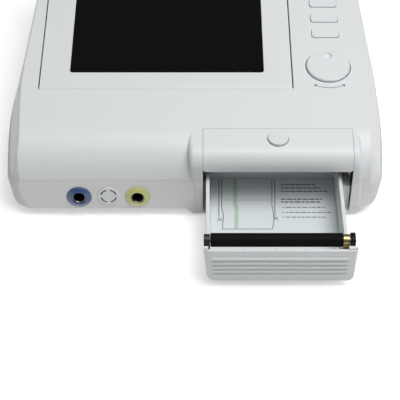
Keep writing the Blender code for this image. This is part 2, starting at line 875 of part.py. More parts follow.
def drawer_latch(finish):
    """Lever under the button: its nose stands just over the catch on the closed drawer."""
    half = latch_thickness / 2
    low, high = latch_pivot_z - half, latch_pivot_z + half
    nose_rear = catch_front_y - seat_gap
    nose_z = tray_top_z + catch_height + 2 * seat_gap
    arm_end = button_y - button_stem_radius - latch_arm_overhang
    outline = [(arm_end, low), (nose_rear - latch_nose_length, low),
               (nose_rear - latch_nose_length, nose_z), (nose_rear, nose_z), (nose_rear, high),
               (arm_end, high)]
    piece = prism("drawer_latch", outline, "X", button_x - latch_width / 2,
                  button_x + latch_width / 2, finish)
    join(piece, rod("hub", "X", (latch_pivot_y, latch_pivot_z), latch_hub_radius,
                    button_x - latch_width / 2, button_x + latch_width / 2))
    cut(piece, rod("bore", "X", (latch_pivot_y, latch_pivot_z), latch_pin_radius + running_gap,
                   button_x - latch_width, button_x + latch_width))
    return piece


def latch_pin(finish):
    """Steel pin through both ears and the latch."""
    reach = latch_pin_half_length()
    return rod("latch_pin", "X", (latch_pivot_y, latch_pivot_z), latch_pin_radius,
               button_x - reach, button_x + reach, finish)


def height_at(outline, y):
    """Height of an outline's upper run at a depth."""
    for (y0, z0), (y1, z1) in zip(outline, outline[1:]):
        if y0 <= y <= y1 and y1 > y0:
            return z0 + (z1 - z0) * (y - y0) / (y1 - y0)
    return outline[-1][1]


def print_head(finish):
    """Heated bar over the closed platen, hung from the cover by two posts."""
    low_z = platen_z + platen_radius + seat_gap
    top_z = low_z + head_height
    front, rear = platen_closed_y - head_depth / 2, platen_closed_y + head_depth / 2
    head = box("print_head", (platen_left_x, front, low_z), (platen_right_x, rear, top_z), finish)
    under = front_profile(bulge_front_y, bottom_z + wall, bulge_depth, bulge_lean_deg,
                          bulge_arc_radius, wall)
    for x in (platen_left_x + head_post_inset, platen_right_x - head_post_inset):
        join(head, box("post", (x - head_post_width / 2, platen_closed_y, top_z - head_height / 2),
                       (x + head_post_width / 2, rear, height_at(under, platen_closed_y) - seat_gap)))
    return head


def drawer_tray(finish):
    """Paper tray: floor, walls, lowered cheeks for the bushes, runners and the catch."""
    tray = box("drawer_tray", (tray_left_x, tray_front_y, tray_bottom_z),
               (tray_right_x, tray_rear_y, tray_top_z), finish)
    cut(tray, box("well", (tray_left_x + tray_wall, tray_front_y - cut_overrun, tray_bottom_z + tray_floor),
                  (tray_right_x - tray_wall, tray_rear_y - tray_wall, tray_top_z + cut_overrun)))
    cut(tray, box("cheek", (tray_left_x - cut_overrun, tray_front_y - cut_overrun, cheek_top_z),
                  (tray_right_x + cut_overrun, tray_front_y + cheek_length, tray_top_z + cut_overrun)))
    for x in (tray_left_x - runner_width, tray_right_x - tray_wall / 2):
        join(tray, box("runner", (x, tray_rear_y - runner_length, runner_low_z),
                       (x + runner_width + tray_wall / 2, tray_rear_y, runner_high_z)))
    join(tray, box("catch", (button_x - catch_width / 2, tray_rear_y - tray_wall, tray_top_z - tray_wall),
                   (button_x + catch_width / 2, tray_rear_y, tray_top_z + catch_height)))
    return tray


def tray_label(finish):
    """Printed sheet on the tray's floor."""
    low_z = tray_bottom_z + tray_floor + seat_gap
    return box("tray_label", (tray_left_x + tray_wall + label_margin, tray_front_y + label_margin, low_z),
               (tray_right_x - tray_wall - label_margin, tray_rear_y - tray_wall - label_margin,
                low_z + label_thickness), finish)


def front_edge_x(z, side):
    """Where the drawer front's left or right edge stands at a height."""
    share = (front_top_z - z) / (front_top_z - front_bottom_z)
    if side < 0:
        return front_left_x + front_left_draft * share
    return front_right_x - front_right_draft * share


def drawer_front(finish):
    """Front plate with slightly drawn-in sides, raised ribs, two lip blocks and paper nubs."""
    radius = front_corner_radius
    outline = [(front_left_x, front_top_z)]
    for side, start in ((-1, 1.0), (1, 1.5)):
        corner_x = front_edge_x(front_bottom_z + radius, side) - side * radius
        for i in range(arc_steps + 1):
            turn = pi * (start + i / arc_steps / 2)
            outline.append((corner_x + radius * cos(turn), front_bottom_z + radius + radius * sin(turn)))
    outline.append((front_right_x, front_top_z))
    plate = prism("drawer_front", outline, "Y", drawer_front_y, drawer_back_of_front_y, finish)
    for index in range(rib_count):
        high = rib_top_z - index * rib_pitch
        low = high - rib_height
        left = front_edge_x(low, -1) + rib_left_margin
        right = front_edge_x(low, 1) - rib_right_margin
        join(plate, box("rib", (left, drawer_front_y - rib_proud, low),
                        (right, drawer_front_y + front_thickness / 2, high)))
    rear = drawer_back_of_front_y
    for left, right in ((front_left_x, front_left_x + lip_left_block),
                        (front_right_x - lip_right_block, front_right_x)):
        join(plate, box("lip", (left, rear - lip_block_depth, front_top_z - lip_block_height),
                        (right, rear, front_top_z + lip_block_height)))
    for index in range(nub_count):
        x = nub_first_x + index * nub_pitch
        join(plate, box("nub", (x - nub_width / 2, rear - nub_width, front_top_z - nub_height),
                        (x + nub_width / 2, rear, front_top_z + nub_height)))
    return plate


def bush(name, low_x, high_x, finish):
    """Bearing block that stands on a cheek of the tray and holds the platen's shaft."""
    turns = [pi * i / arc_steps for i in range(arc_steps + 1)]
    outline = [(platen_y + bush_radius * cos(t), platen_z + bush_radius * sin(t)) for t in turns]
    foot_z = cheek_top_z + seat_gap
    outline += [(platen_y - bush_radius, foot_z), (platen_y + bush_radius, foot_z)]
    block = prism(name, outline, "X", low_x, high_x, finish)
    return cut(block, rod("bore", "X", (platen_y, platen_z), platen_shaft_radius + running_gap,
                          low_x - cut_overrun, high_x + cut_overrun))


def gear(name, axis_y, teeth, bore_radius, tooth_at_front, finish):
    """Straight-toothed wheel about X, with a tooth or a gap facing straight to the front."""
    pitch_radius = gear_module * teeth / 2
    root, tip = pitch_radius - gear_module * tooth_depth_share, pitch_radius + gear_module
    step = 2 * pi / teeth
    outline = []
    for index in range(teeth):
        middle = (index + (0 if tooth_at_front else 0.5)) * step
        for radius, share in ((root, -tooth_root_share / 2), (tip, -tooth_tip_share / 2),
                              (tip, tooth_tip_share / 2), (root, tooth_root_share / 2)):
            turn = middle + share * step
            outline.append((axis_y + radius * cos(turn), platen_z + radius * sin(turn)))
    wheel = prism(name, outline, "X", gear_left_x, gear_right_x, finish)
    if bore_radius:
        cut(wheel, rod("bore", "X", (axis_y, platen_z), bore_radius, gear_left_x - cut_overrun,
                       gear_right_x + cut_overrun))
    return wheel


def platen_rubber(finish):
    """Rubber sleeve of the platen roller."""
    sleeve = rod("platen_rubber", "X", (platen_y, platen_z), platen_radius, platen_left_x, platen_right_x,
                 finish, fine_steps)
    return cut(sleeve, rod("bore", "X", (platen_y, platen_z), platen_shaft_radius + running_gap,
                           platen_left_x - cut_overrun, platen_right_x + cut_overrun))


def motor_pinion(finish):
    """Small gear in one piece with the motor's shaft."""
    wheel = gear("motor_pinion", pinion_y, pinion_teeth, 0, True, finish)
    return join(wheel, rod("shaft", "X", (pinion_y, platen_z), pinion_shaft_radius, gear_left_x + seat_gap,
                           bracket_left_x + bracket_thickness))


def motor_bracket(finish):
    """Plate that stands on the right rail and carries the motor and the idler's axle."""
    low = (bracket_left_x, idler_y - bracket_margin, rail_top_z + seat_gap)
    high = (bracket_left_x + bracket_thickness, pinion_y + motor_radius, bracket_top_z)
    plate = box("motor_bracket", low, high, finish)
    for y, radius in ((idler_y, idler_axle_radius + running_gap), (pinion_y, motor_shaft_hole_radius)):
        cut(plate, rod("hole", "X", (y, platen_z), radius, low[0] - cut_overrun, high[0] + cut_overrun))
    return plate


def stepper_motor(finish):
    """Round motor behind the bracket."""
    start = bracket_left_x + bracket_thickness + seat_gap
    return rod("stepper_motor", "X", (pinion_y, platen_z), motor_radius, start, start + motor_length, finish)


def drawer_rail(name, side, finish):
    """Rail with a ledge under the tray's floor and a groove for its runner."""
    face = tray_right_x + seat_gap if side > 0 else tray_left_x - seat_gap
    front = rail_right_front_y if side > 0 else rail_left_front_y
    back = face + side * rail_width
    low_z = belly_floor_z + seat_gap
    rail = box(name, (min(face, back), front, low_z), (max(face, back), rail_rear_y, rail_top_z), finish)
    inner = face - side * rail_ledge
    join(rail, box("ledge", (min(inner, face + side * runner_width), front, low_z),
                   (max(inner, face + side * runner_width), rail_rear_y, tray_bottom_z - seat_gap)))
    groove = face + side * runner_width
    return cut(rail, box("groove", (min(face - side * cut_overrun, groove),
                                    tray_rear_y - runner_length - seat_gap, runner_low_z - seat_gap),
                         (max(face - side * cut_overrun, groove), groove_rear_y, runner_high_z + seat_gap)))


def lid_bezel(finish):
    """Top skin and walls of the display, rolled round the hinge axis at the front edge."""
    low_z = -lid_thickness + lid_back_thickness + seat_gap
    outline = [(lid_front_y, low_z)]
    for i in range(arc_steps + 1):
        turn = pi - pi / 2 * i / arc_steps
        outline.append((lid_axis_y + lid_knuckle_radius * cos(turn),
                        -lid_knuckle_radius + lid_knuckle_radius * sin(turn)))
    outline += [(lid_rear_y, 0), (lid_rear_y, low_z)]
    bezel = prism("lid_bezel", outline, "X", lid_left_x, lid_right_x, finish)
    cut(bezel, box("hollow", (lid_left_x + lid_wall, lid_front_y + lid_wall, low_z - cut_overrun),
                   (lid_right_x - lid_wall, lid_rear_y - lid_wall, -lid_wall)))
    cut(bezel, box("window", (window_left_x - seat_gap, window_front_y - seat_gap, -lid_thickness),
                   (window_right_x + seat_gap, window_rear_y + seat_gap, cut_overrun)))
    for low_x, high_x in lid_pin_spans():
        cut(bezel, rod("bore", "X", (lid_axis_y, -lid_knuckle_radius), lid_pin_radius + running_gap,
                       low_x - cut_overrun, high_x + cut_overrun))
    return on_deck(bezel)


def lid_back(finish):
    """Back plate of the display."""
    return on_deck(box("lid_back", (lid_left_x, lid_front_y, -lid_thickness),
                       (lid_right_x, lid_rear_y, -lid_thickness + lid_back_thickness), finish))


def display_window(finish):
    """Dark pane in the bezel."""
    return on_deck(box("display_window", (window_left_x, window_front_y, -window_sink - window_thickness),
                       (window_right_x, window_rear_y, -window_sink), finish))


def lcd_module(finish):
    """Panel behind the pane."""
    top = -window_sink - window_thickness - seat_gap
    low = (window_left_x + lcd_margin, window_front_y + lcd_margin, top - lcd_height)
    return on_deck(box("lcd_module", low, (window_right_x - lcd_margin, window_rear_y - lcd_margin, top),
                       finish))


def hinge_pin(name, span, finish):
    """Short pin between the display and the casing."""
    return on_deck(rod(name, "X", (lid_axis_y, -lid_knuckle_radius), lid_pin_radius, *span, finish))


def jog_knob(finish):
    """Flat dial with a finger dimple near its rear edge."""
    bore = encoder_shaft_radius + running_gap
    outline = [(bore, -knob_sunk), (knob_radius, -knob_sunk), (knob_radius, knob_proud - knob_chamfer),
               (knob_radius - knob_chamfer, knob_proud), (0, knob_proud), (0, seat_gap), (bore, seat_gap)]
    knob = moved(turned("jog_knob", outline, finish, fine_steps), knob_x, knob_y)
    turns = [pi / 2 * i / corner_steps for i in range(corner_steps + 1)]
    bowl = [(knob_dimple_radius * sin(t), -knob_dimple_radius * cos(t)) for t in turns]
    dimple = turned("dimple", bowl + [(knob_dimple_radius, cut_overrun), (0, cut_overrun)])
    moved(dimple, knob_x, knob_y + knob_radius * knob_dimple_share,
          knob_proud + knob_dimple_radius - knob_dimple_depth)
    return on_deck(cut(knob, dimple))


def encoder_levels():
    """Heights in the encoder: housing top and base, chamber top and floor, shaft's end."""
    top = cup_floor_z - wall - seat_gap
    chamber_top = top - encoder_neck
    base = top - encoder_height
    chamber_floor = base + encoder_neck / 2
    return top, base, chamber_top, chamber_floor


def encoder_shaft(finish):
    """Round shaft under the knob."""
    foot = encoder_levels()[3] + encoder_travel + seat_gap
    return on_deck(rod("encoder_shaft", "Z", (knob_x, knob_y), encoder_shaft_radius, foot, 0, finish))


def encoder_collar(finish):
    """Collar in the encoder's chamber: it slides with the shaft when the knob is pushed."""
    foot = encoder_levels()[3] + encoder_travel + seat_gap
    bore = encoder_shaft_radius + running_gap
    outer = encoder_bore_radius - running_gap
    outline = [(bore, foot), (outer, foot), (outer, foot + encoder_collar_height),
               (bore, foot + encoder_collar_height)]
    return on_deck(moved(turned("encoder_collar", outline, finish), knob_x, knob_y))


def encoder_body(finish):
    """Square housing under the knob's cup, with its neck bore and chamber."""
    top, base, chamber_top, chamber_floor = encoder_levels()
    half = encoder_size / 2
    housing = box("encoder_body", (knob_x - half, knob_y - half, base),
                  (knob_x + half, knob_y + half, top), finish)
    cut(housing, rod("neck", "Z", (knob_x, knob_y), encoder_shaft_radius + running_gap, chamber_floor,
                     top + cut_overrun))
    cut(housing, rod("chamber", "Z", (knob_x, knob_y), encoder_bore_radius, chamber_floor, chamber_top))
    return on_deck(housing)


def key(index, y, finish):
    """Rectangular key with a retaining flange under the deck."""
    flange_top = -wall - seat_gap
    low = (knob_x - key_width / 2, y - key_length / 2)
    high = (knob_x + key_width / 2, y + key_length / 2)
    cap = prism(f"key_{index + 1}", rounded(low, high, key_round), "Z",
                flange_top - key_flange_height / 2, key_proud, finish)
    join(cap, box("flange", (low[0] - key_flange, low[1] - key_flange, flange_top - key_flange_height),
                  (high[0] + key_flange, high[1] + key_flange, flange_top)))
    return on_deck(cap)


def keypad_board(finish):
    """Board under the keys, hung from four posts."""
    reach_x = key_width / 2 + key_flange + 2 * keypad_post_radius
    reach_y = key_length / 2 + key_flange
    low = (knob_x - reach_x, key_places()[0] - reach_y, keypad_top_z - keypad_thickness)
    high = (knob_x + reach_x, key_places()[-1] + reach_y, keypad_top_z)
    return on_deck(box("keypad_board", low, high, finish))


def socket_ring(name, x, finish):
    """Coloured collar round a probe socket."""
    bore = socket_core_radius + running_gap
    neck = socket_ring_radius - socket_ring_flange
    shoulder = socket_ring_proud - socket_ring_chamfer
    outline = [(bore, -socket_ring_depth), (neck, -socket_ring_depth), (neck, seat_gap),
               (socket_ring_radius, seat_gap), (socket_ring_radius, shoulder),
               (socket_ring_radius - socket_ring_chamfer, socket_ring_proud),
               (bore + socket_ring_chamfer, socket_ring_proud), (bore, shoulder)]
    return on_front(turned(name, outline, finish, fine_steps), x, socket_z)


def socket_core(name, x, finish):
    """Metal barrel with the bore that takes a probe's plug."""
    top = socket_ring_proud - socket_ring_chamfer - socket_core_sunk
    outline = [(0, -socket_core_depth), (socket_core_radius, -socket_core_depth), (socket_core_radius, top),
               (socket_bore_radius, top), (socket_bore_radius, top - socket_bore_depth),
               (0, top - socket_bore_depth)]
    return on_front(turned(name, outline, finish), x, socket_z)


def socket_blank(finish):
    """Round blanking label between the sockets."""
    outline = [(0, seat_gap), (blank_radius, seat_gap), (blank_radius, blank_proud), (0, blank_proud)]
    return on_front(turned("socket_blank", outline, finish), blank_x, blank_z)


def foot(name, x, y, top_z, finish):
    """Rubber foot."""
    chamfer = top_z * foot_chamfer_share
    outline = [(0, 0), (foot_radius - chamfer, 0), (foot_radius, chamfer), (foot_radius, top_z), (0, top_z)]
    return moved(turned(name, outline, finish), x, y)


def case_screw(index, x, y, finish):
    """Case screw from below, its head sunk in the lower casing."""
    start = bottom_z + screw_sunk
    outline = [(0, start), (screw_head_radius, start), (screw_head_radius, start + screw_head_height),
               (screw_shank_radius, start + screw_head_height), (screw_shank_radius, start + screw_length),
               (0, start + screw_length)]
    return moved(turned(f"case_screw_{index + 1}", outline, finish, small_round_steps), x, y)


def main_board(finish):
    """Circuit board on the lower casing's bosses."""
    low_z = floor_z + board_lift + seat_gap
    return box("main_board", (board_left_x, board_front_y, low_z),
               (board_right_x, board_rear_y, low_z + board_thickness), finish)


def floor_box(name, left, right, front, rear, height, finish):
    """A closed unit that stands on the casing's floor."""
    low_z = floor_z + seat_gap
    return box(name, (left, front, low_z), (right, rear, low_z + height), finish)


def speaker(finish):
    """Loudspeaker that faces down through the slots in the floor."""
    low_z = floor_z + seat_gap
    outline = [(0, low_z), (speaker_radius, low_z), (speaker_radius, low_z + speaker_frame_height),
               (speaker_magnet_radius, low_z + speaker_frame_height),
               (speaker_magnet_radius, low_z + speaker_height), (0, low_z + speaker_height)]
    return moved(turned("speaker", outline, finish), speaker_x, speaker_y)


def rear_box(name, x, width, height, front, rear, finish=None):
    """A box centred on the rear row of connectors."""
    return box(name, (x - width / 2, front, rear_row_z - height / 2),
               (x + width / 2, rear, rear_row_z + height / 2), finish)


def power_inlet(finish):
    """Mains inlet: flange, body, recess and three blades."""
    face = body_depth + seat_gap + inlet_flange
    inlet = rear_box("power_inlet", inlet_x, inlet_flange_width, inlet_flange_height, body_depth + seat_gap,
                     face, finish)
    join(inlet, rear_box("body", inlet_x, inlet_body_width, inlet_body_height, body_depth - inlet_body_depth,
                         face - inlet_flange / 2))
    back = face - inlet_cavity_depth
    cut(inlet, rear_box("recess", inlet_x, inlet_cavity_width, inlet_cavity_height, back, face + cut_overrun))
    for side, lift in ((-1, 0), (0, inlet_blade_width / 2), (1, 0)):
        x = inlet_x + side * inlet_blade_pitch
        z = rear_row_z + lift
        low = (x - inlet_blade_thickness / 2, back - inlet_blade_thickness, z - inlet_blade_width / 2)
        high = (x + inlet_blade_thickness / 2, back + inlet_blade_length, z + inlet_blade_width / 2)
        join(inlet, box("blade", low, high))
    return inlet


def switch_frame(finish):
    """Rectangular frame of the mains switch."""
    face = body_depth + seat_gap + switch_flange
    grow = 2 * switch_flange
    frame = rear_box("switch_frame", switch_x, switch_frame_width + grow, switch_frame_height + grow,
                     body_depth + seat_gap, face, finish)
    join(frame, rear_box("body", switch_x, switch_frame_width, switch_frame_height,
                         body_depth - switch_body_depth, face - switch_flange / 2))
    return cut(frame, rear_box("hollow", switch_x, switch_frame_width - 2 * switch_frame_wall,
                               switch_frame_height - 2 * switch_frame_wall,
                               body_depth - switch_body_depth + switch_frame_wall, face + cut_overrun))


def power_rocker(finish):
    """Rocker that leans to its off side about an axis along X."""
    width = switch_frame_width - 2 * switch_frame_wall - 2 * seat_gap
    rise = rocker_radius * sin(radians(rocker_tilt_deg)) / 2
    outline = [(-rocker_thickness, 0), (0, -rocker_radius), (rocker_thickness, -rocker_radius),
               (rocker_thickness - rise, 0), (rocker_thickness, rocker_radius), (0, rocker_radius)]
    rocker = prism("power_rocker", outline, "X", -width / 2, width / 2, finish)
    rocker.matrix_world = (Matrix.Translation((switch_x, body_depth, rear_row_z))
                           @ Matrix.Rotation(-radians(rocker_tilt_deg), 4, "X"))
    return rocker


def data_port(finish):
    """Shielded data port with a rectangular mouth."""
    port = rear_box("data_port", port_x, port_width, port_height, body_depth - port_depth,
                    body_depth + port_proud, finish)
    return cut(port, rear_box("mouth", port_x, port_cavity_width, port_cavity_height,
                              body_depth + port_proud - port_cavity_depth, body_depth + cut_overrun))


def ground_post(finish):
    """Earth post: a stud through the rear wall with a collar."""
    post = rod("ground_post", "Y", (post_x, rear_row_z), post_base_radius, body_depth + seat_gap,
               body_depth + post_base_length, finish)
    return join(post, rod("stud", "Y", (post_x, rear_row_z), post_radius, body_depth - wall - seat_gap,
                          rear_reach_y))


def pivot(name, place, parent=None):
    """An empty on a joint's axis that carries the pieces of one moving body."""
    empty = bpy.data.objects.new(name, None)
    bpy.context.collection.objects.link(empty)
    empty.matrix_world = Matrix.Translation(place)
    carry(empty, parent)
    return empty


def carry(piece, parent):
    """Hang a piece on its parent without moving it."""
    if parent:
        bpy.context.view_layer.update()
        piece.parent = parent
        piece.matrix_parent_inverse = parent.matrix_world.inverted()


def build():
    """Make every piece, then hang each one on the empty of its body."""
    for old in list(bpy.data.objects):
        bpy.data.objects.remove(old)
    white = material("casing_white", (0.74, 0.76, 0.77), 0.42)
    lower_white = material("lower_casing_white", (0.70, 0.72, 0.74), 0.42)
    pane = material("pane_black", (0.012, 0.012, 0.013), 0.08)
    grey = material("inner_grey", (0.25, 0.26, 0.27), 0.55)
    black = material("black_plastic", (0.02, 0.02, 0.022), 0.5)
    rubber = material("black_rubber", (0.010, 0.011, 0.012), 0.75)
    steel = material("steel", (0.60, 0.60, 0.58), 0.3, 1.0)
    brass = material("brass", (0.55, 0.42, 0.20), 0.35, 1.0)
    blue = material("socket_blue", (0.04, 0.12, 0.36), 0.4)
    yellow = material("socket_yellow", (0.62, 0.66, 0.14), 0.4)
    board = material("board_green", (0.05, 0.22, 0.12), 0.5)
    paper = material("label_paper", (0.72, 0.78, 0.79), 0.6)

    outer = body_solid("outer", 0)
    shell = copy_of(outer, "shell", white)
    cut(shell, body_solid("hollow", wall))

    monitor = pivot("monitor", (0, 0, 0))
    fixed = [bottom_case(shell, lower_white), top_cover(shell, outer, white),
             printer_cover(shell, white)]
    bpy.data.objects.remove(outer)
    bpy.data.objects.remove(shell)
    foot_x = half_width - foot_inset_x
    for name, x, y, under in (("foot_front_left", -foot_x, foot_inset_y, bottom_z),
                              ("foot_front_right", foot_x, foot_inset_y, belly_bottom_z),
                              ("foot_rear_left", -foot_x, body_depth - foot_inset_y, bottom_z),
                              ("foot_rear_right", foot_x, body_depth - foot_inset_y, bottom_z)):
        fixed.append(foot(name, x, y, under - seat_gap, rubber))
    fixed += [case_screw(index, x, y, steel) for index, (x, y) in enumerate(screw_places())]
    for side, x, colour in (("blue", socket_left_x, blue), ("yellow", socket_right_x, yellow)):
        fixed += [socket_ring(f"socket_ring_{side}", x, colour), socket_core(f"socket_core_{side}", x, steel)]
    fixed.append(socket_blank(paper))
    fixed += [main_board(board), speaker(black),
              floor_box("power_supply", supply_left_x, supply_right_x, supply_front_y, supply_rear_y,
                        supply_height, steel),
              floor_box("battery_pack", battery_left_x, battery_right_x, battery_front_y, battery_rear_y,
                        battery_height, black)]
    left_span, right_span = lid_pin_spans()
    fixed += [hinge_pin("hinge_pin_left", left_span, steel), hinge_pin("hinge_pin_right", right_span, steel)]
    fixed += [encoder_body(grey), keypad_board(board), power_inlet(black), switch_frame(black),
              data_port(steel), ground_post(steel)]
    fixed += [drawer_rail("drawer_rail_left", -1, grey), drawer_rail("drawer_rail_right", 1, grey),
              print_head(grey), motor_bracket(steel), stepper_motor(grey), latch_pin(steel)]
    fixed.append(rod("idler_axle", "X", (idler_y, platen_z), idler_axle_radius, gear_left_x - seat_gap,
                     bracket_left_x + bracket_thickness, steel))
    for piece in fixed:
        carry(piece, monitor)

    drawer = pivot("drawer_axis", (button_x, drawer_front_y, front_bottom_z), monitor)
    for piece in (drawer_tray(white), drawer_front(white), tray_label(paper),
                  bush("bush_left", front_left_x, platen_left_x - seat_gap, grey),
                  bush("bush_right", platen_right_x + seat_gap, tray_right_x, brass)):
        carry(piece, drawer)

    platen = pivot("platen_axis", (platen_right_x, platen_y, platen_z), drawer)
    for piece in (platen_rubber(rubber),
                  gear("platen_gear", platen_y, platen_teeth, platen_shaft_radius + running_gap, True, black),
                  rod("platen_shaft", "X", (platen_y, platen_z), platen_shaft_radius, front_left_x,
                      gear_right_x + platen_shaft_end, steel)):
        carry(piece, platen)

    idler = pivot("idler_axis", (gear_right_x, idler_y, platen_z), monitor)
    carry(gear("idler_gear", idler_y, idler_teeth, idler_axle_radius + running_gap, False, black), idler)
    motor = pivot("motor_axis", (gear_right_x, pinion_y, platen_z), monitor)
    carry(motor_pinion(brass), motor)

    lid = pivot("lid_axis", deck_matrix @ Vector((0, lid_axis_y, -lid_knuckle_radius)), monitor)
    for piece in (lid_bezel(white), lid_back(white), display_window(pane), lcd_module(steel)):
        carry(piece, lid)

    encoder = pivot("encoder_axis", deck_matrix @ Vector((knob_x, knob_y, 0)), monitor)
    carry(encoder_collar(brass), encoder)
    dial = pivot("knob_axis", deck_matrix @ Vector((knob_x, knob_y, 0)), encoder)
    for piece in (jog_knob(white), encoder_shaft(steel)):
        carry(piece, dial)

    for index, y in enumerate(key_places()):
        place = pivot(f"key_axis_{index + 1}", deck_matrix @ Vector((knob_x, y, 0)), monitor)
        carry(key(index, y, white), place)

    rocker = pivot("rocker_axis", (switch_x, body_depth, rear_row_z), monitor)
    carry(power_rocker(black), rocker)
    button = pivot("button_axis", (button_x, button_y, roof_z(button_y)), monitor)
    carry(release_button(white), button)
    latch = pivot("latch_axis", (button_x, latch_pivot_y, latch_pivot_z), monitor)
    carry(drawer_latch(grey), latch)

    for piece in bpy.data.objects:
        if piece.type == "MESH":
            smooth(piece)
    monitor.location = (0, -middle_y, 0)


build()
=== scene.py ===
from math import cos, pi, radians, sin, tan

import bpy
from mathutils import Matrix, Vector


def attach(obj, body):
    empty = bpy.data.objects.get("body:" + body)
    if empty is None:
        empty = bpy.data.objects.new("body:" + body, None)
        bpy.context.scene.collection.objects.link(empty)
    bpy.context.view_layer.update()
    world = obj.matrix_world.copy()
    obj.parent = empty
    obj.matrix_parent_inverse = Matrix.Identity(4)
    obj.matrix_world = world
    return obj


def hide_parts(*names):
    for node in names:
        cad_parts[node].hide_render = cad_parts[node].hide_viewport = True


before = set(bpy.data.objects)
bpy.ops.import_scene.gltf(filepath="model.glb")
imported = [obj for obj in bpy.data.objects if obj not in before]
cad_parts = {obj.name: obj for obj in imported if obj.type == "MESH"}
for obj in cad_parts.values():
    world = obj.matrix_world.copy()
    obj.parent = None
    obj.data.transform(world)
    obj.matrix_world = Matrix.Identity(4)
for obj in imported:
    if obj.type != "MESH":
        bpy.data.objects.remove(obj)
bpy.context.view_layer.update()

# Casing form: two injection-moulded ABS halves share one outer shape, a shallow wedge with bowed
# sides, a long roll from the front into the sloped roof, a boxier bulge over the printer and a low
# keel under the drawer. Places are given from the casing's front; seat() moves them to the frame.
front_to_origin = 0.1126
half_width = 0.1766
body_depth = 0.300
bottom_z = 0.009
seam_z = 0.0428
seam_gap = 0.0003
roof_front_z = 0.0730
roof_slope = radians(4.76)
wall = 0.0026
overrun = 0.004
deck = Matrix.Translation((0, 0, roof_front_z)) @ Matrix.Rotation(roof_slope, 4, "X")


def alone(piece=None):
    """Deselect everything, then pick one piece."""
    bpy.ops.object.select_all(action="DESELECT")
    if piece:
        piece.select_set(True)
        bpy.context.view_layer.objects.active = piece


def block(low, high, name="block"):
    """A cube stretched between two corners."""
    alone()
    low, high = Vector(low), Vector(high)
    bpy.ops.mesh.primitive_cube_add(size=1, location=(low + high) / 2)
    piece = bpy.context.object
    piece.name = name
    piece.scale = high - low
    bpy.ops.object.transform_apply(location=True, rotation=True, scale=True)
    return piece


def bar(axis, centre, radius, low, high, sides=48, name="bar"):
    """A cylinder along X, Y or Z: centre gives the other two coordinates."""
    alone()
    middle = list(centre)
    middle.insert("XYZ".index(axis), (low + high) / 2)
    turn = {"X": (0, pi / 2, 0), "Y": (pi / 2, 0, 0), "Z": (0, 0, 0)}[axis]
    bpy.ops.mesh.primitive_cylinder_add(vertices=sides, radius=radius, depth=high - low,
                                        location=middle, rotation=turn)
    piece = bpy.context.object
    piece.name = name
    bpy.ops.object.transform_apply(location=True, rotation=True, scale=True)
    return piece


def pick_edges(piece, test):
    """Go into edit mode with the edges selected whose two ends pass the test."""
    alone(piece)
    bpy.ops.object.mode_set(mode="EDIT")
    bpy.ops.mesh.select_mode(type="EDGE")
    bpy.ops.mesh.select_all(action="DESELECT")
    bpy.ops.object.mode_set(mode="OBJECT")
    points = piece.data.vertices
    for edge in piece.data.edges:
        edge.select = test(points[edge.vertices[0]].co, points[edge.vertices[1]].co)
    bpy.ops.object.mode_set(mode="EDIT")


def round_picked(width, segments):
    """Bevel what is selected and leave edit mode."""
    bpy.ops.mesh.bevel(offset=width, segments=segments, affect="EDGES")
    bpy.ops.object.mode_set(mode="OBJECT")


def round_edges(piece, width, segments=3, angle=32):
    """Round every edge sharper than an angle."""
    alone(piece)
    step = piece.modifiers.new("edges", "BEVEL")
    step.width = width
    step.segments = segments
    step.limit_method = "ANGLE"
    step.angle_limit = radians(angle)
    step.use_clamp_overlap = False
    bpy.ops.object.modifier_apply(modifier=step.name)
    return piece


def weld(piece, reach):
    """Merge points closer than a reach, so that a rounding has room between them."""
    alone(piece)
    bpy.ops.object.mode_set(mode="EDIT")
    bpy.ops.mesh.select_all(action="SELECT")
    bpy.ops.mesh.remove_doubles(threshold=reach)
    bpy.ops.object.mode_set(mode="OBJECT")


def carve(piece, tool, operation="DIFFERENCE"):
    """Cut, join or intersect a piece with a tool, which is used up."""
    step = piece.modifiers.new("carve", "BOOLEAN")
    step.operation = operation
    step.solver = "EXACT"
    step.material_mode = "TRANSFER"
    step.object = tool
    alone(piece)
    bpy.ops.object.modifier_apply(modifier=step.name)
    bpy.data.objects.remove(tool)
    return piece


def twin(piece, name="twin"):
    """A copy with a mesh of its own."""
    copy = bpy.data.objects.new(name, piece.data.copy())
    bpy.context.collection.objects.link(copy)
    return copy


front_corner_radius, rear_corner_radius = 0.022, 0.020
side_bow, side_bow_end_y = 0.0051, 0.110
right_taper, left_taper = (0.165, 0.045), (0.105, 0.065)


def side_shift(x, y):
    """How far the side is drawn in at a depth: bowed in front, tapered towards the rear."""
    taper_y, taper_share = right_taper if x > 0 else left_taper
    y = min(max(y, front_corner_radius), body_depth - rear_corner_radius)
    bow = side_bow * (max(side_bow_end_y - y, 0) / (side_bow_end_y - front_corner_radius)) ** 2
    return bow + taper_share * max(y - taper_y, 0)


def roof_z(y, inset=0):
    """Height of the roof, or of its underside at an inset."""
    return roof_front_z - inset / cos(roof_slope) + y * tan(roof_slope)


front_lean, front_roll, front_roll_steps = radians(5.0), 0.040, 28


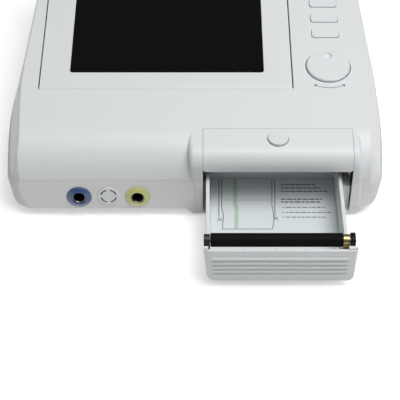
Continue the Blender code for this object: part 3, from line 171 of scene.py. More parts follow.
def front_prism(front_y, low_z, rear_y, lean, radius, inset, low_x, high_x):
    """Side view of a leaning front that rolls over into the roof, drawn out along X."""
    foot_y = front_y + (low_z - bottom_z) * tan(lean) + inset / cos(lean)
    rise = (roof_z(0, inset) + foot_y * tan(roof_slope) - low_z) / (cos(lean) - sin(lean) * tan(roof_slope))
    corner = (foot_y + rise * sin(lean), low_z + rise * cos(lean))
    turn = pi / 2 - lean - roof_slope
    alone()
    bpy.ops.mesh.primitive_plane_add(size=1)
    piece = bpy.context.object
    outline = ((foot_y, low_z), (rear_y, low_z), corner, (rear_y, roof_z(rear_y, inset)))
    for vertex, (y, z) in zip(piece.data.vertices, outline):
        vertex.co = (low_x, y, z)
    bpy.ops.object.mode_set(mode="EDIT")
    bpy.ops.mesh.select_mode(type="VERT")
    bpy.ops.mesh.select_all(action="DESELECT")
    bpy.ops.object.mode_set(mode="OBJECT")
    piece.data.vertices[2].select = True
    bpy.ops.object.mode_set(mode="EDIT")
    bpy.ops.mesh.bevel(offset=(radius - inset) * tan(turn / 2), segments=front_roll_steps, affect="VERTICES")
    bpy.ops.mesh.select_all(action="SELECT")
    bpy.ops.mesh.extrude_region_move(TRANSFORM_OT_translate={"value": (high_x - low_x, 0, 0)})
    bpy.ops.mesh.select_all(action="SELECT")
    bpy.ops.mesh.normals_make_consistent(inside=False)
    bpy.ops.object.mode_set(mode="OBJECT")
    return piece


widest_z, hull_top_z = 0.034, 0.1
roof_draw_in, bottom_draw_in, run_on = 0.0145, 0.003, 1.5
corner_steps, side_slices = 16, 14


def hull_form(inset):
    """Plan with round corners, bowed and tapered sides, drawn in at the bottom and at the roof."""
    hull = block((-half_width + inset, inset, bottom_z + inset),
                 (half_width - inset, body_depth - inset, hull_top_z), "hull")
    for y, radius in ((inset, front_corner_radius), (body_depth - inset, rear_corner_radius)):
        pick_edges(hull, lambda a, b: abs(a.z - b.z) > wall and abs(a.y - y) < seam_gap)
        round_picked(radius - inset, corner_steps)
    alone(hull)
    bpy.ops.object.mode_set(mode="EDIT")
    run = body_depth - rear_corner_radius - front_corner_radius
    for step in range(side_slices + 1):
        y = front_corner_radius + run * step / side_slices
        bpy.ops.mesh.select_all(action="SELECT")
        bpy.ops.mesh.bisect(plane_co=(0, y, 0), plane_no=(0, 1, 0))
    bpy.ops.mesh.select_all(action="SELECT")
    bpy.ops.mesh.bisect(plane_co=(0, 0, widest_z), plane_no=(0, 0, 1))
    bpy.ops.object.mode_set(mode="OBJECT")
    for vertex in hull.data.vertices:
        x, y, z = vertex.co
        x -= side_shift(x, y) * (1 if x > 0 else -1)
        if z > widest_z + wall:
            z = widest_z + (roof_z(y) - widest_z) * run_on
            x *= 1 - roof_draw_in * run_on / half_width
        elif z < widest_z - wall:
            x *= 1 - bottom_draw_in / half_width
        vertex.co = (x, y, z)
    return hull


mouth_top_z = 0.0556
bulge_front_y, bulge_rear_y, bulge_lean, bulge_roll = -0.0004, 0.060, radians(2.0), 0.016
bulge_left_x, bulge_left_flare = 0.0005, 0.0048
bulge_right_x, bulge_right_draw_in = 0.1538, 0.0035
bulge_flank_round = 0.0048


def bulge_form(inset):
    """The boxier front over the printer: drawn a metre wide, then each softly rounded flank is set."""
    front = front_prism(bulge_front_y, bottom_z + inset, bulge_rear_y, bulge_lean, bulge_roll, inset, 0, 1)
    height = mouth_top_z - bottom_z
    for vertex in front.data.vertices:
        up = (vertex.co.z - bottom_z) / height
        if vertex.co.x < 0.5:
            vertex.co.x = bulge_left_x - bulge_left_flare * up + inset
        else:
            vertex.co.x = bulge_right_x - bulge_right_draw_in * up - inset
    return round_edges(front, bulge_flank_round - inset, 6, angle=60)


keel_left_x, keel_right_x, bay_middle_x = -0.002, 0.148, 0.07
keel_front_y, keel_rear_y = 0.0002, 0.1323
keel_low_z, keel_flare = 0.0034, 0.006


def keel_form(inset):
    """The shallow keel under the drawer bay, with sloped flanks."""
    low, top = keel_low_z + inset, bottom_z + inset + wall / 2
    keel = block((keel_left_x + inset, keel_front_y + inset, low),
                 (keel_right_x - inset, keel_rear_y - inset, top), "keel")
    flare = keel_flare * (top - low) / (bottom_z - keel_low_z)
    for vertex in keel.data.vertices:
        if vertex.co.z > low + seam_gap:
            vertex.co.x += flare * (1 if vertex.co.x > bay_middle_x else -1)
    return keel


roof_edge_weld, roof_edge_round, roof_edge_angle = 0.0015, 0.0016, 50


def casing_form(inset):
    """The whole outer shape, or the hollow at an inset of one wall."""
    form = hull_form(inset)
    carve(form, front_prism(0, bottom_z - overrun, body_depth + overrun, front_lean, front_roll, inset,
                            -half_width - overrun, half_width + overrun), "INTERSECT")
    if not inset:
        # The rounding needs room between the points of the roof's edge.
        weld(form, roof_edge_weld)
        round_edges(form, roof_edge_round, 4, angle=roof_edge_angle)
    carve(form, bulge_form(inset), "UNION")
    carve(form, keel_form(inset), "UNION")
    return form


def level_slab(low_z, high_z):
    """A block wider and deeper than the casing between two heights."""
    reach = half_width + overrun
    return block((-reach, -overrun, low_z), (reach, body_depth + overrun, high_z))


smooth_below = radians(34)


def seat(piece, body, finish, slot, *nodes):
    """Move a finished piece to the frame, shade it, dress it and hang it on its body."""
    piece.data.transform(piece.matrix_world)
    piece.matrix_world = Matrix.Identity(4)
    piece.data.transform(Matrix.Translation((0, -front_to_origin, 0)))
    dress(piece, body, finish, slot, *nodes)


def dress(piece, body, finish, slot, *nodes):
    """Shade a piece that is in the frame already, dress it and hang it on its body."""
    alone(piece)
    bpy.ops.object.shade_smooth_by_angle(angle=smooth_below)
    shading = piece.modifiers.new("shading", "WEIGHTED_NORMAL")
    shading.keep_sharp = True
    bpy.ops.object.modifier_apply(modifier=shading.name)
    if finish:
        piece.data.materials.clear()
        piece.data.materials.append(finish)
    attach(piece, body)
    if nodes:
        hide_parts(*nodes)
    return piece


outer_form = casing_form(0)
hollow_form = casing_form(wall)


def moulding(name, tool):
    """One moulding: the outer shape kept inside a tool, then hollowed to the wall."""
    return carve(carve(twin(outer_form, name), tool, "INTERSECT"), twin(hollow_form))


# Lower casing: white ABS tub with a fine spark-eroded grain. It carries the sockets in its leaning
# front, the drawer bay's mouth, bosses for the main board and the tubes that the case screws pass.
floor_z = bottom_z + wall
board_boss_xs, board_boss_ys = (-0.130, -0.033), (0.058, 0.192)
board_boss_radius, board_boss_height = 0.004, 0.008
screw_places = ((-0.160, 0.060), (0.160, 0.060), (-0.152, 0.245), (0.152, 0.245))
tube_radius, tube_bore_radius = 0.0056, 0.00205
screw_head_radius, screw_head_top_z = 0.00375, 0.0131
hole_sides = 32
mouth_left_x, mouth_right_x, mouth_low_z = 0.0070, 0.1416, 0.0060
socket_places = {"blue": -0.1055, "yellow": -0.0522}
socket_z = 0.0242
socket_hole_radius, socket_hole_depth = 0.00965, 0.0066
slot_middle_y, slot_pitch = 0.236, 0.0075
slot_left_x, slot_right_x, slot_half_width, slot_end_round = -0.115, -0.085, 0.0015, 0.0014
panel_z, panel_depth = 0.0255, 0.0066
inlet_cut, switch_cut, port_cut = (0.118, 0.029, 0.022), (0.074, 0.015, 0.021), (-0.070, 0.016, 0.0135)
stud_x, stud_hole_radius = 0.030, 0.00335


def fine_surface():
    """Group: the faint mottle, gloss changes and fine grain that a spark-eroded mould leaves."""
    group = bpy.data.node_groups.new("moulded surface", "ShaderNodeTree")
    for name, kind, start in (("Colour", "NodeSocketColor", (1, 1, 1, 1)),
                              ("Mottle", "NodeSocketFloat", 0.02),
                              ("Roughness", "NodeSocketFloat", 0.4),
                              ("Grain Scale", "NodeSocketFloat", 1500),
                              ("Grain Depth", "NodeSocketFloat", 0.05)):
        socket = group.interface.new_socket(name, in_out="INPUT", socket_type=kind)
        socket.default_value = start
    for name, kind in (("Colour", "NodeSocketColor"), ("Roughness", "NodeSocketFloat"),
                       ("Normal", "NodeSocketVector")):
        group.interface.new_socket(name, in_out="OUTPUT", socket_type=kind)
    make, link = group.nodes.new, group.links.new
    inputs, outputs = make("NodeGroupInput"), make("NodeGroupOutput")
    place = make("ShaderNodeTexCoord")
    broad, fine = make("ShaderNodeTexNoise"), make("ShaderNodeTexNoise")
    for noise, name, value in ((broad, "Scale", 34), (broad, "Detail", 5), (fine, "Detail", 2)):
        noise.inputs[name].default_value = value
    link(place.outputs["Object"], broad.inputs["Vector"])
    link(place.outputs["Object"], fine.inputs["Vector"])
    link(inputs.outputs["Grain Scale"], fine.inputs["Scale"])
    darker = make("ShaderNodeMath")
    darker.operation = "MULTIPLY"
    link(broad.outputs["Fac"], darker.inputs[0])
    link(inputs.outputs["Mottle"], darker.inputs[1])
    tone = make("ShaderNodeMix")
    tone.data_type = "RGBA"
    tone.inputs["B"].default_value = (0, 0, 0, 1)
    link(darker.outputs[0], tone.inputs["Factor"])
    link(inputs.outputs["Colour"], tone.inputs["A"])
    link(tone.outputs["Result"], outputs.inputs["Colour"])
    spread = make("ShaderNodeMapRange")
    gloss_change = 0.06
    spread.inputs["To Min"].default_value = -gloss_change
    spread.inputs["To Max"].default_value = gloss_change
    link(broad.outputs["Fac"], spread.inputs["Value"])
    gloss = make("ShaderNodeMath")
    gloss.operation = "ADD"
    link(spread.outputs["Result"], gloss.inputs[0])
    link(inputs.outputs["Roughness"], gloss.inputs[1])
    link(gloss.outputs[0], outputs.inputs["Roughness"])
    bump = make("ShaderNodeBump")
    grain_height = 0.0001
    bump.inputs["Distance"].default_value = grain_height
    link(inputs.outputs["Grain Depth"], bump.inputs["Strength"])
    link(fine.outputs["Fac"], bump.inputs["Height"])
    link(bump.outputs["Normal"], outputs.inputs["Normal"])
    return group


moulded_surface = fine_surface()


def moulded(name, colour, roughness=0.42, mottle=0.02, scale=1500, depth=0.12, metallic=0.0, coat=0.0,
            shine=0.5):
    """A finish built on the moulded surface."""
    finish = bpy.data.materials.new(name)
    finish.use_nodes = True
    tree = finish.node_tree
    shader = tree.nodes["Principled BSDF"]
    surface = tree.nodes.new("ShaderNodeGroup")
    surface.node_tree = moulded_surface
    surface.inputs["Colour"].default_value = (*colour, 1)
    surface.inputs["Mottle"].default_value = mottle
    surface.inputs["Roughness"].default_value = roughness
    surface.inputs["Grain Scale"].default_value = scale
    surface.inputs["Grain Depth"].default_value = depth
    tree.links.new(surface.outputs["Colour"], shader.inputs["Base Color"])
    tree.links.new(surface.outputs["Roughness"], shader.inputs["Roughness"])
    tree.links.new(surface.outputs["Normal"], shader.inputs["Normal"])
    shader.inputs["Metallic"].default_value = metallic
    shader.inputs["Coat Weight"].default_value = coat
    shader.inputs["Specular IOR Level"].default_value = shine
    return finish


lower_white = moulded("lower_casing_white", (0.70, 0.72, 0.73))
# Painted shade: the hollow form is near-black and carries that into every moulding's inner faces, so the
# inside of the casing reads dark.
inside_painted_shade = moulded("inside_painted_shade", (0.020, 0.020, 0.021), 0.7, 0.2, 700, 0.2, shine=0.2)
outer_form.data.materials.append(lower_white)
hollow_form.data.materials.append(inside_painted_shade)


def front_frame(x, z):
    """Frame on the leaning lower front, with +Z straight out of it."""
    return (Matrix.Translation((x, (z - bottom_z) * tan(front_lean), z))
            @ Matrix.Rotation(pi / 2 - front_lean, 4, "X"))


def placed(piece, matrix):
    """Put a piece drawn at the origin into a frame."""
    piece.data.transform(matrix @ piece.matrix_world)
    piece.matrix_world = Matrix.Identity(4)
    return piece


lower = moulding("lower_casing", level_slab(-overrun, seam_z - seam_gap / 2))
boss_top_z = floor_z + board_boss_height
for x in board_boss_xs:
    for y in board_boss_ys:
        carve(lower, bar("Z", (x, y), board_boss_radius, floor_z - wall / 2, boss_top_z, hole_sides), "UNION")
for x, y in screw_places:
    tube = bar("Z", (x, y), tube_radius, bottom_z + wall / 2, seam_z - seam_gap, hole_sides)
    carve(lower, tube, "UNION")
    carve(lower, bar("Z", (x, y), tube_bore_radius, bottom_z - overrun, seam_z + overrun, hole_sides))
    carve(lower, bar("Z", (x, y), screw_head_radius, bottom_z - overrun, screw_head_top_z, hole_sides))
carve(lower, block((mouth_left_x, -overrun, mouth_low_z), (mouth_right_x, wall + overrun, seam_z + overrun)))
for x in socket_places.values():
    hole = bar("Z", (0, 0), socket_hole_radius, -socket_hole_depth, overrun)
    carve(lower, placed(hole, front_frame(x, socket_z)))
for index in range(5):
    y = slot_middle_y + (index - 2) * slot_pitch
    slot = block((slot_left_x, y - slot_half_width, bottom_z - overrun),
                 (slot_right_x, y + slot_half_width, floor_z + overrun))
    pick_edges(slot, lambda a, b: abs(a.z - b.z) > wall)
    round_picked(slot_end_round, 5)
    carve(lower, slot)
for x, width, height in (inlet_cut, switch_cut, port_cut):
    low_x, high_x = x - width / 2 - seam_gap, x + width / 2 + seam_gap
    carve(lower, block((low_x, body_depth - panel_depth, panel_z - height / 2 - seam_gap),
                       (high_x, body_depth + overrun, panel_z + height / 2 + seam_gap)))
carve(lower, bar("Y", (stud_x, panel_z), stud_hole_radius, body_depth - panel_depth, body_depth + overrun,
                 hole_sides))
# The cuts leave one thin sliver open at the front.
alone(lower)
bpy.ops.object.mode_set(mode="EDIT")
bpy.ops.mesh.select_all(action="SELECT")
bpy.ops.mesh.fill_holes(sides=4)
bpy.ops.object.mode_set(mode="OBJECT")
seat(lower, "chassis", None, "lower_casing", "bottom_case")

# Feet and screws: soft black rubber pads pressed into the floor, and zinc-plated steel screws
# driven up from below.
black_rubber = moulded("black_rubber", (0.005, 0.005, 0.0055), 0.62, 0.25, 900, 0.3, shine=0.08)
plated_steel = moulded("plated_steel", (0.58, 0.58, 0.57), 0.30, 0.10, 2600, 0.05, metallic=1.0)


def repaint(finish, *names):
    """Give CAD nodes whose shape is right a fuller finish."""
    for name in names:
        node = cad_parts[name]
        node.data.materials.clear()
        node.data.materials.append(finish)


def softened(node, body, finish, slot, width=0.0003, segments=2):
    """A piece of a CAD node's own shape, with its moulded or broken edges rounded."""
    piece = twin(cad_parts[node], node + "_piece")
    alone(piece)
    bpy.ops.object.mode_set(mode="EDIT")
    bpy.ops.mesh.select_all(action="SELECT")
    bpy.ops.mesh.remove_doubles(threshold=0.00001)
    bpy.ops.mesh.dissolve_limited(angle_limit=radians(0.5))
    bpy.ops.object.mode_set(mode="OBJECT")
    if width:
        round_edges(piece, width, segments)
    return dress(piece, body, finish, slot, node)


for place in ("front_left", "front_right", "rear_left", "rear_right"):
    softened("foot_" + place, "chassis", black_rubber, "rubber", 0.0005, 3)
repaint(plated_steel, *(f"case_screw_{index + 1}" for index in range(4)))

# Inside: the main and key boards of green laminate, the power supply in a folded aluminium can, and
# the battery pack and the loudspeaker in black.
solder_mask = moulded("solder_mask", (0.045, 0.20, 0.11), 0.38, 0.35, 500, 0.2)
satin_aluminium = moulded("satin_aluminium", (0.60, 0.60, 0.60), 0.36, 0.06, 1800, 0.08, metallic=1.0)
black_plastic = moulded("black_plastic", (0.012, 0.012, 0.013), 0.45, 0.15, 1300, 0.15, shine=0.35)
inner_grey = moulded("inner_grey", (0.23, 0.24, 0.25), 0.52, 0.08, 1300, 0.15)
repaint(solder_mask, "main_board", "keypad_board")
repaint(black_plastic, "battery_pack", "speaker")
softened("power_supply", "chassis", satin_aluminium, "supply", 0.0008, 3)

# Rear panel: mains inlet, rocker switch, shielded data port and the earth stud, each pressed or
# screwed into its opening in the lower casing.
softened("power_inlet", "chassis", black_plastic, "black_plastic")
softened("switch_frame", "chassis", black_plastic, "black_plastic")
softened("power_rocker", "rocker", black_plastic, "black_plastic", 0.0005)
softened("data_port", "chassis", plated_steel, "steel", 0.0002)
softened("ground_post", "chassis", plated_steel, "steel", 0.0003)

# Probe sockets: a coloured collar with a conical face, pressed into the front round a turned metal
# barrel. A near-black lining in the bore is painted shade for the deep hole.
socket_blue = moulded("socket_blue", (0.046, 0.088, 0.23), 0.30, 0.06, 1400, 0.05, coat=0.3)
socket_yellow = moulded("socket_yellow", (0.55, 0.57, 0.22), 0.32, 0.05, 1400, 0.05, coat=0.3)
socket_steel = moulded("socket_barrel", (0.30, 0.31, 0.26), 0.34, 0.15, 2200, 0.06, metallic=1.0)
# Painted shade: a near-black finish for the lining deep in each socket's bore.
bore_painted_shade = moulded("bore_painted_shade", (0.004, 0.004, 0.004), 0.7, 0.1, 1300, 0.1, shine=0.1)


def lathe(profile, steps=64, name="lathe"):
    """Spin a closed profile of radius and height about +Z."""
    alone()
    bpy.ops.mesh.primitive_circle_add(vertices=len(profile), radius=1)
    piece = bpy.context.object
    piece.name = name
    for vertex, (radius, z) in zip(piece.data.vertices, profile):
        vertex.co = (radius, 0, z)
    bpy.ops.object.mode_set(mode="EDIT")
    bpy.ops.mesh.select_all(action="SELECT")
    bpy.ops.mesh.spin(steps=steps, angle=2 * pi, center=(0, 0, 0), axis=(0, 0, 1))
    bpy.ops.mesh.select_all(action="SELECT")
    bpy.ops.mesh.remove_doubles(threshold=0.000002)
    bpy.ops.mesh.dissolve_degenerate(threshold=0.000002)
    bpy.ops.mesh.select_all(action="SELECT")
    bpy.ops.mesh.delete_loose()
    bpy.ops.mesh.select_all(action="SELECT")
    bpy.ops.mesh.normals_make_consistent(inside=False)
    bpy.ops.object.mode_set(mode="OBJECT")
    return piece


def fillet(centre, radius, start_deg, end_deg, steps=5):
    """Profile points along an arc."""
    turns = [radians(start_deg + (end_deg - start_deg) * i / steps) for i in range(steps + 1)]
    return [(centre[0] + radius * cos(t), centre[1] + radius * sin(t)) for t in turns]


skirt_radius, skirt_depth = 0.0093, 0.009
rim_radius, rim_z = 0.0113, 0.0007
face_outer, face_outer_round = (0.0100, 0.0004), 0.0010
face_inner, face_inner_round = (0.0069, 0.0022), 0.0007
collar_bore_radius, lip_bore_radius = 0.00695, 0.0061
lip_top_z, lip_under_z = 0.0023, 0.0018
barrel_radius, barrel_side_z, barrel_end_z = 0.0066, 0.0012, -0.018
barrel_rim, barrel_rim_round = (0.0063, 0.0013), 0.0003
barrel_cone = [(0.0056, 0.0016), (0.0052, 0.0011)]
barrel_bore_radius, barrel_bore_z = 0.0050, -0.0150
insert_radius, insert_bore_radius = 0.0049, 0.0042
insert_low_z, insert_floor_z = -0.0149, -0.0124
insert_rim_z, insert_chamfer_z = -0.0022, -0.0026
for side, colour in (("blue", socket_blue), ("yellow", socket_yellow)):
    at = front_frame(socket_places[side], socket_z)
    collar = [(collar_bore_radius, -skirt_depth), (skirt_radius, -skirt_depth), (skirt_radius, seam_gap),
              (rim_radius, seam_gap), (rim_radius, rim_z)]
    collar += fillet(face_outer, face_outer_round, 20, 50, 3)
    collar += fillet(face_inner, face_inner_round, 60, 120, 4)
    collar += [(lip_bore_radius, lip_top_z), (lip_bore_radius, lip_under_z),
               (collar_bore_radius, lip_under_z)]
    seat(placed(lathe(collar, name="collar_" + side), at), "chassis", colour, "socket_" + side,
         "socket_ring_" + side)
    barrel = [(0, barrel_end_z), (barrel_radius, barrel_end_z), (barrel_radius, barrel_side_z)]
    barrel += fillet(barrel_rim, barrel_rim_round, 0, 90, 2)
    barrel += barrel_cone + [(barrel_bore_radius, barrel_bore_z), (0, barrel_bore_z)]
    seat(placed(lathe(barrel, name="barrel_" + side), at), "chassis", socket_steel, "steel",
         "socket_core_" + side)
    # The lining is painted shade: a near-black sleeve that makes the hole read dark.
    insert = [(0, insert_low_z), (insert_radius, insert_low_z), (insert_radius, insert_rim_z),
              (insert_bore_radius, insert_chamfer_z), (insert_bore_radius, insert_floor_z),
              (0, insert_floor_z)]
    seat(placed(lathe(insert, name="insert_" + side), at), "chassis", bore_painted_shade, "black_plastic")

# Blanking label between the sockets: a thin round sticker of white film, stuck to the lower casing's
# front, with a plain broken ring printed on it.
label_paper = moulded("label_film", (0.76, 0.78, 0.79), 0.5, 0.02, 700, 0.03)
ink = moulded("printing_ink", (0.030, 0.030, 0.034), 0.55, 0.1, 900, 0.05)
sticker_x, sticker_z, sticker_radius = -0.0786, 0.0256, 0.0100
sticker_edge_z, sticker_top_z, sticker_flat_radius = 0.0010, 0.0012, 0.0098
ring_radius, ring_width, ring_low_z, ring_top_z = 0.0070, 0.0013, 0.0011, 0.00124
ring_start_deg, ring_end_deg = 14, 76
at = front_frame(sticker_x, sticker_z)
sticker = [(0, seam_gap), (sticker_radius, seam_gap), (sticker_radius, sticker_edge_z),
           (sticker_flat_radius, sticker_top_z), (0, sticker_top_z)]
seat(placed(lathe(sticker, name="sticker"), at), "chassis", label_paper, "label", "socket_blank")


def arc_strip(radius, width, low, high, start_deg, end_deg, steps, name="arc"):
    """A flat printed arc: its cross-section is spun part of the way round."""
    alone()
    bpy.ops.mesh.primitive_plane_add(size=1)
    piece = bpy.context.object
    piece.name = name
    section = ((-0.5, low), (0.5, low), (-0.5, high), (0.5, high))
    for vertex, (side, z) in zip(piece.data.vertices, section):
        vertex.co = (radius + side * width, 0, z)
    piece.data.transform(Matrix.Rotation(radians(end_deg), 4, "Z"))
    bpy.ops.object.mode_set(mode="EDIT")
    bpy.ops.mesh.select_all(action="SELECT")
    bpy.ops.mesh.spin(steps=steps, angle=radians(end_deg - start_deg), center=(0, 0, 0), axis=(0, 0, 1))
    bpy.ops.mesh.select_all(action="SELECT")
    bpy.ops.mesh.normals_make_consistent(inside=False)
    bpy.ops.object.mode_set(mode="OBJECT")
    return piece


def gathered(pieces, name):
    """Several printed marks as one piece."""
    alone(pieces[0])
    for piece in pieces:
        piece.select_set(True)
    bpy.ops.object.join()
    pieces[0].name = name
    return pieces[0]


ring = []
for start in (0, 90, 180, 270):
    ring.append(arc_strip(ring_radius, ring_width, ring_low_z, ring_top_z, start + ring_start_deg,
                          start + ring_end_deg, 14))
seat(placed(gathered(ring, "sticker_ring"), at), "chassis", ink, "label")

# Drawer rails, print head, motor and gears: nylon rails, a sprung thermal bar over the platen and a
# tin-can stepper that drives the platen through an idler.
dark_nylon = moulded("dark_nylon", (0.010, 0.009, 0.009), 0.40, 0.2, 1200, 0.12, shine=0.35)
turned_brass = moulded("turned_brass", (0.44, 0.33, 0.16), 0.28, 0.18, 2400, 0.06, metallic=1.0)
rail_grey = moulded("rail_grey", (0.70, 0.71, 0.72), 0.50, 0.08, 1300, 0.15)
for node in ("drawer_rail_left", "drawer_rail_right"):
    softened(node, "chassis", rail_grey, "inner_grey", 0.0006, 3)
softened("print_head", "chassis", inner_grey, "inner_grey", 0.0003)
softened("motor_bracket", "chassis", plated_steel, "steel", 0.0002)
softened("stepper_motor", "chassis", satin_aluminium, "motor", 0.0006, 3)
softened("idler_gear", "idler", dark_nylon, "black_plastic", 0.0001, 1)
softened("motor_pinion", "motor_rotor", turned_brass, "brass", 0.00008, 1)
repaint(plated_steel, "latch_pin", "idler_axle", "hinge_pin_left", "hinge_pin_right")
softened("drawer_latch", "latch", inner_grey, "inner_grey", 0.0004)

# Drawer: a white ABS tray with thin walls, and its front with five raised grip ribs, moulded apart
# and clipped on. Two lip blocks and four nubs guide the paper over the front's top edge.
casing_white = moulded("casing_white", (0.74, 0.76, 0.77))
drawer_front_y = -0.0854
front_top_z, front_bottom_z = 0.0462, 0.0080
front_thickness, front_corner_round = 0.0045, 0.006
front_left_x, front_left_draw_in = 0.0076, 0.0030
front_right_x, front_right_draw_in = 0.1396, 0.0012
rebate_left_x, rebate_right_x, rebate_width, rebate_depth = 0.0070, 0.1400, 0.0020, 0.0030
left_roll_width, left_roll_depth, left_cut_lean = 0.0085, 0.0034, 0.078
right_roll_width, right_roll_depth, right_cut_lean = 0.0033, 0.0020, 0.03
left_cuts_mm, right_cuts_mm = (0.4, 0.9, 1.6, 2.6, 3.8, 5.2, 6.8, 8.4), (0.3, 0.7, 1.3, 2.1, 3.2)
front_edge_round = 0.0002
rib_top_z, rib_pitch, rib_height = 0.0382, 0.0053, 0.0022
rib_left_margin, rib_right_margin = 0.0062, 0.0072
rib_stand, rib_root, rib_round = 0.0014, 0.0038, 0.0013
lip_spans, lip_width, lip_rise, lip_round = ((0.0076, 0.0116), (0.1316, 0.1396)), 0.0030, 0.002, 0.0004
guide_root = 0.0034
nub_x, nub_pitch, nub_half_width = 0.0431, 0.0261, 0.0008
nub_front, nub_back, nub_rise = 0.0026, 0.0012, 0.0009
softened("drawer_tray", "drawer", casing_white, "casing", 0.0004, 3)


def front_edge_x(z, side):
    """Where the drawer front's left or right edge stands at a height."""
    share = (front_top_z - z) / (front_top_z - front_bottom_z)
    if side < 0:
        return front_left_x + front_left_draw_in * share
    return front_right_x - front_right_draw_in * share


def rolled(distance, width, depth):
    """How far a face falls back near an edge, as a quarter of an ellipse."""
    share = 1 - min(max(distance / width, 0), 1)
    return depth * (1 - (1 - share * share) ** 0.5)


lip_y = drawer_front_y + front_thickness
plate = block((front_left_x, drawer_front_y, front_bottom_z), (front_right_x, lip_y, front_top_z),
              "drawer_face")
for vertex in plate.data.vertices:
    vertex.co.x = front_edge_x(vertex.co.z, -1 if vertex.co.x < bay_middle_x else 1)
pick_edges(plate, lambda a, b: abs(a.y - b.y) > wall and a.z < front_bottom_z + wall)
round_picked(front_corner_round, 12)
carve(plate, block((rebate_left_x, lip_y - rebate_width, front_top_z - rebate_depth),
                   (rebate_right_x, lip_y + wall, front_top_z + wall)))
# The face rolls back at both ends: lines are cut across it, then its front points are moved.
for side, lean, cuts in ((-1, left_cut_lean, left_cuts_mm), (1, right_cut_lean, right_cuts_mm)):
    for cut in cuts:
        x = front_edge_x(front_top_z, side) - side * cut / 1000
        alone(plate)
        bpy.ops.object.mode_set(mode="EDIT")
        bpy.ops.mesh.select_all(action="SELECT")
        bpy.ops.mesh.bisect(plane_co=(x, 0, front_top_z), plane_no=(1, 0, lean))
        bpy.ops.object.mode_set(mode="OBJECT")
for vertex in plate.data.vertices:
    if vertex.co.y < drawer_front_y + seam_gap:
        left = vertex.co.x - front_edge_x(vertex.co.z, -1)
        right = front_edge_x(vertex.co.z, 1) - vertex.co.x
        left_fall = rolled(left, left_roll_width, left_roll_depth)
        vertex.co.y += left_fall + rolled(right, right_roll_width, right_roll_depth)
round_edges(plate, front_edge_round, 2, angle=60)
for index in range(5):
    high = rib_top_z - index * rib_pitch
    rib = block((front_edge_x(high, -1) + rib_left_margin, drawer_front_y - rib_stand, high - rib_height),
                (front_edge_x(high, 1) - rib_right_margin, drawer_front_y + rib_root, high))
    pick_edges(rib, lambda a, b: min(a.z, b.z) > high - seam_gap and max(a.y, b.y) < drawer_front_y)
    round_picked(rib_round, 6)
    carve(plate, rib, "UNION")
for left, right in lip_spans:
    lip = block((left, lip_y - lip_width, front_top_z - guide_root), (right, lip_y, front_top_z + lip_rise))
    carve(plate, round_edges(lip, lip_round, 3), "UNION")
for index in range(4):
    x = nub_x + index * nub_pitch
    carve(plate, block((x - nub_half_width, lip_y - nub_front, front_top_z - guide_root),
                       (x + nub_half_width, lip_y - nub_back, front_top_z + nub_rise)), "UNION")
seat(plate, "drawer", casing_white, "casing", "drawer_front")

# Platen: a black rubber sleeve on a steel shaft, in a sprung clip at the left and a brass bush at the
# right, with its gear outside the tray.
platen_y, platen_z, sleeve_radius = -0.0739, 0.048, 0.0060
sleeve_left_x, sleeve_right_x, sleeve_edge_round = 0.0134, 0.1266, 0.0004
sleeve = bar("X", (platen_y, platen_z), sleeve_radius, sleeve_left_x, sleeve_right_x, 64, "platen_sleeve")
seat(round_edges(sleeve, sleeve_edge_round, 3), "platen", black_rubber, "rubber", "platen_rubber")
softened("platen_gear", "platen", dark_nylon, "black_plastic", 0.0001, 1)
repaint(plated_steel, "platen_shaft")
clip_steel = moulded("clip_steel", (0.055, 0.055, 0.045), 0.34, 0.3, 1500, 0.10, metallic=0.7)
softened("bush_left", "drawer", clip_steel, "inner_grey", 0.0004, 3)
softened("bush_right", "drawer", turned_brass, "brass", 0.0003)

# Printed sheet on the tray's floor: coated paper with a generic drawing of how the chart runs and
# plain bars where the notes stand. The print is laid on the sheet as thin strips, in millimetres.
coated_paper = moulded("coated_paper", (0.74, 0.79, 0.80), 0.45, 0.02, 500, 0.03)
faded_ink = moulded("faded_ink", (0.16, 0.17, 0.19), 0.55, 0.1, 900, 0.05)
chart_green = moulded("chart_green", (0.50, 0.64, 0.55), 0.5, 0.1, 900, 0.05)
sheet_top, print_under, print_over = 0.0137, 0.00005, 0.00004
softened("tray_label", "drawer", coated_paper, "label", 0)


def strip(start, end, width):
    """A flat printed line between two places on the sheet, given in millimetres."""
    start, end = Vector(start) / 1000, Vector(end) / 1000
    run = end - start
    piece = block((0, -width / 2000, -print_under), (run.length, width / 2000, print_over))
    turn = Matrix.Rotation(run.to_2d().angle_signed(Vector((1, 0))), 4, "Z")
    return placed(piece, Matrix.Translation((start.x, start.y, sheet_top)) @ turn)


def line(points, width):
    """A printed line through several places."""
    return [strip(a, b, width) for a, b in zip(points, points[1:])]


thick, thin, across = 0.8, 0.7, 0.35
drawing = line([(22.2, 34.4), (21.6, -14.4)], thick)
drawing += line([(24.9, 34.4), (24.2, -1.9), (25.8, -11.9), (24.7, -29.3)], thin)
drawing += line([(24.4, -29.3), (69.9, -29.3)], thin)
drawing += line([(74.2, 34.4), (72.5, -14.4)], thick)
drawing += line([(71.6, 34.4), (70.3, 0.7), (71.3, -9.4), (71.4, -19.4), (69.7, -29.3)], thin)
drawing += line([(25.6, 7.1), (69.7, 7.1)], across)
for x, y in ((22.6, -17.6), (73.4, -16.3)):
    drawing += line([(x - 2.2, y - 1.6), (x + 1.8, y + 2.0)], thin)
    drawing += line([(x - 2.0, y + 1.6), (x + 2.0, y - 1.8)], thin)
seat(gathered(drawing, "sheet_drawing"), "drawer", faded_ink, "label")
stripe, stripe_width = [(37.3, 34.4), (36.7, 3.2), (37.9, -3.1), (37.2, -29.0)], 3.7
seat(gathered(line(stripe, stripe_width), "sheet_stripe"), "drawer", chart_green, "label")
notes = []
shortest_word, word_gap, shortest_rest = 2.2, 0.9, 1
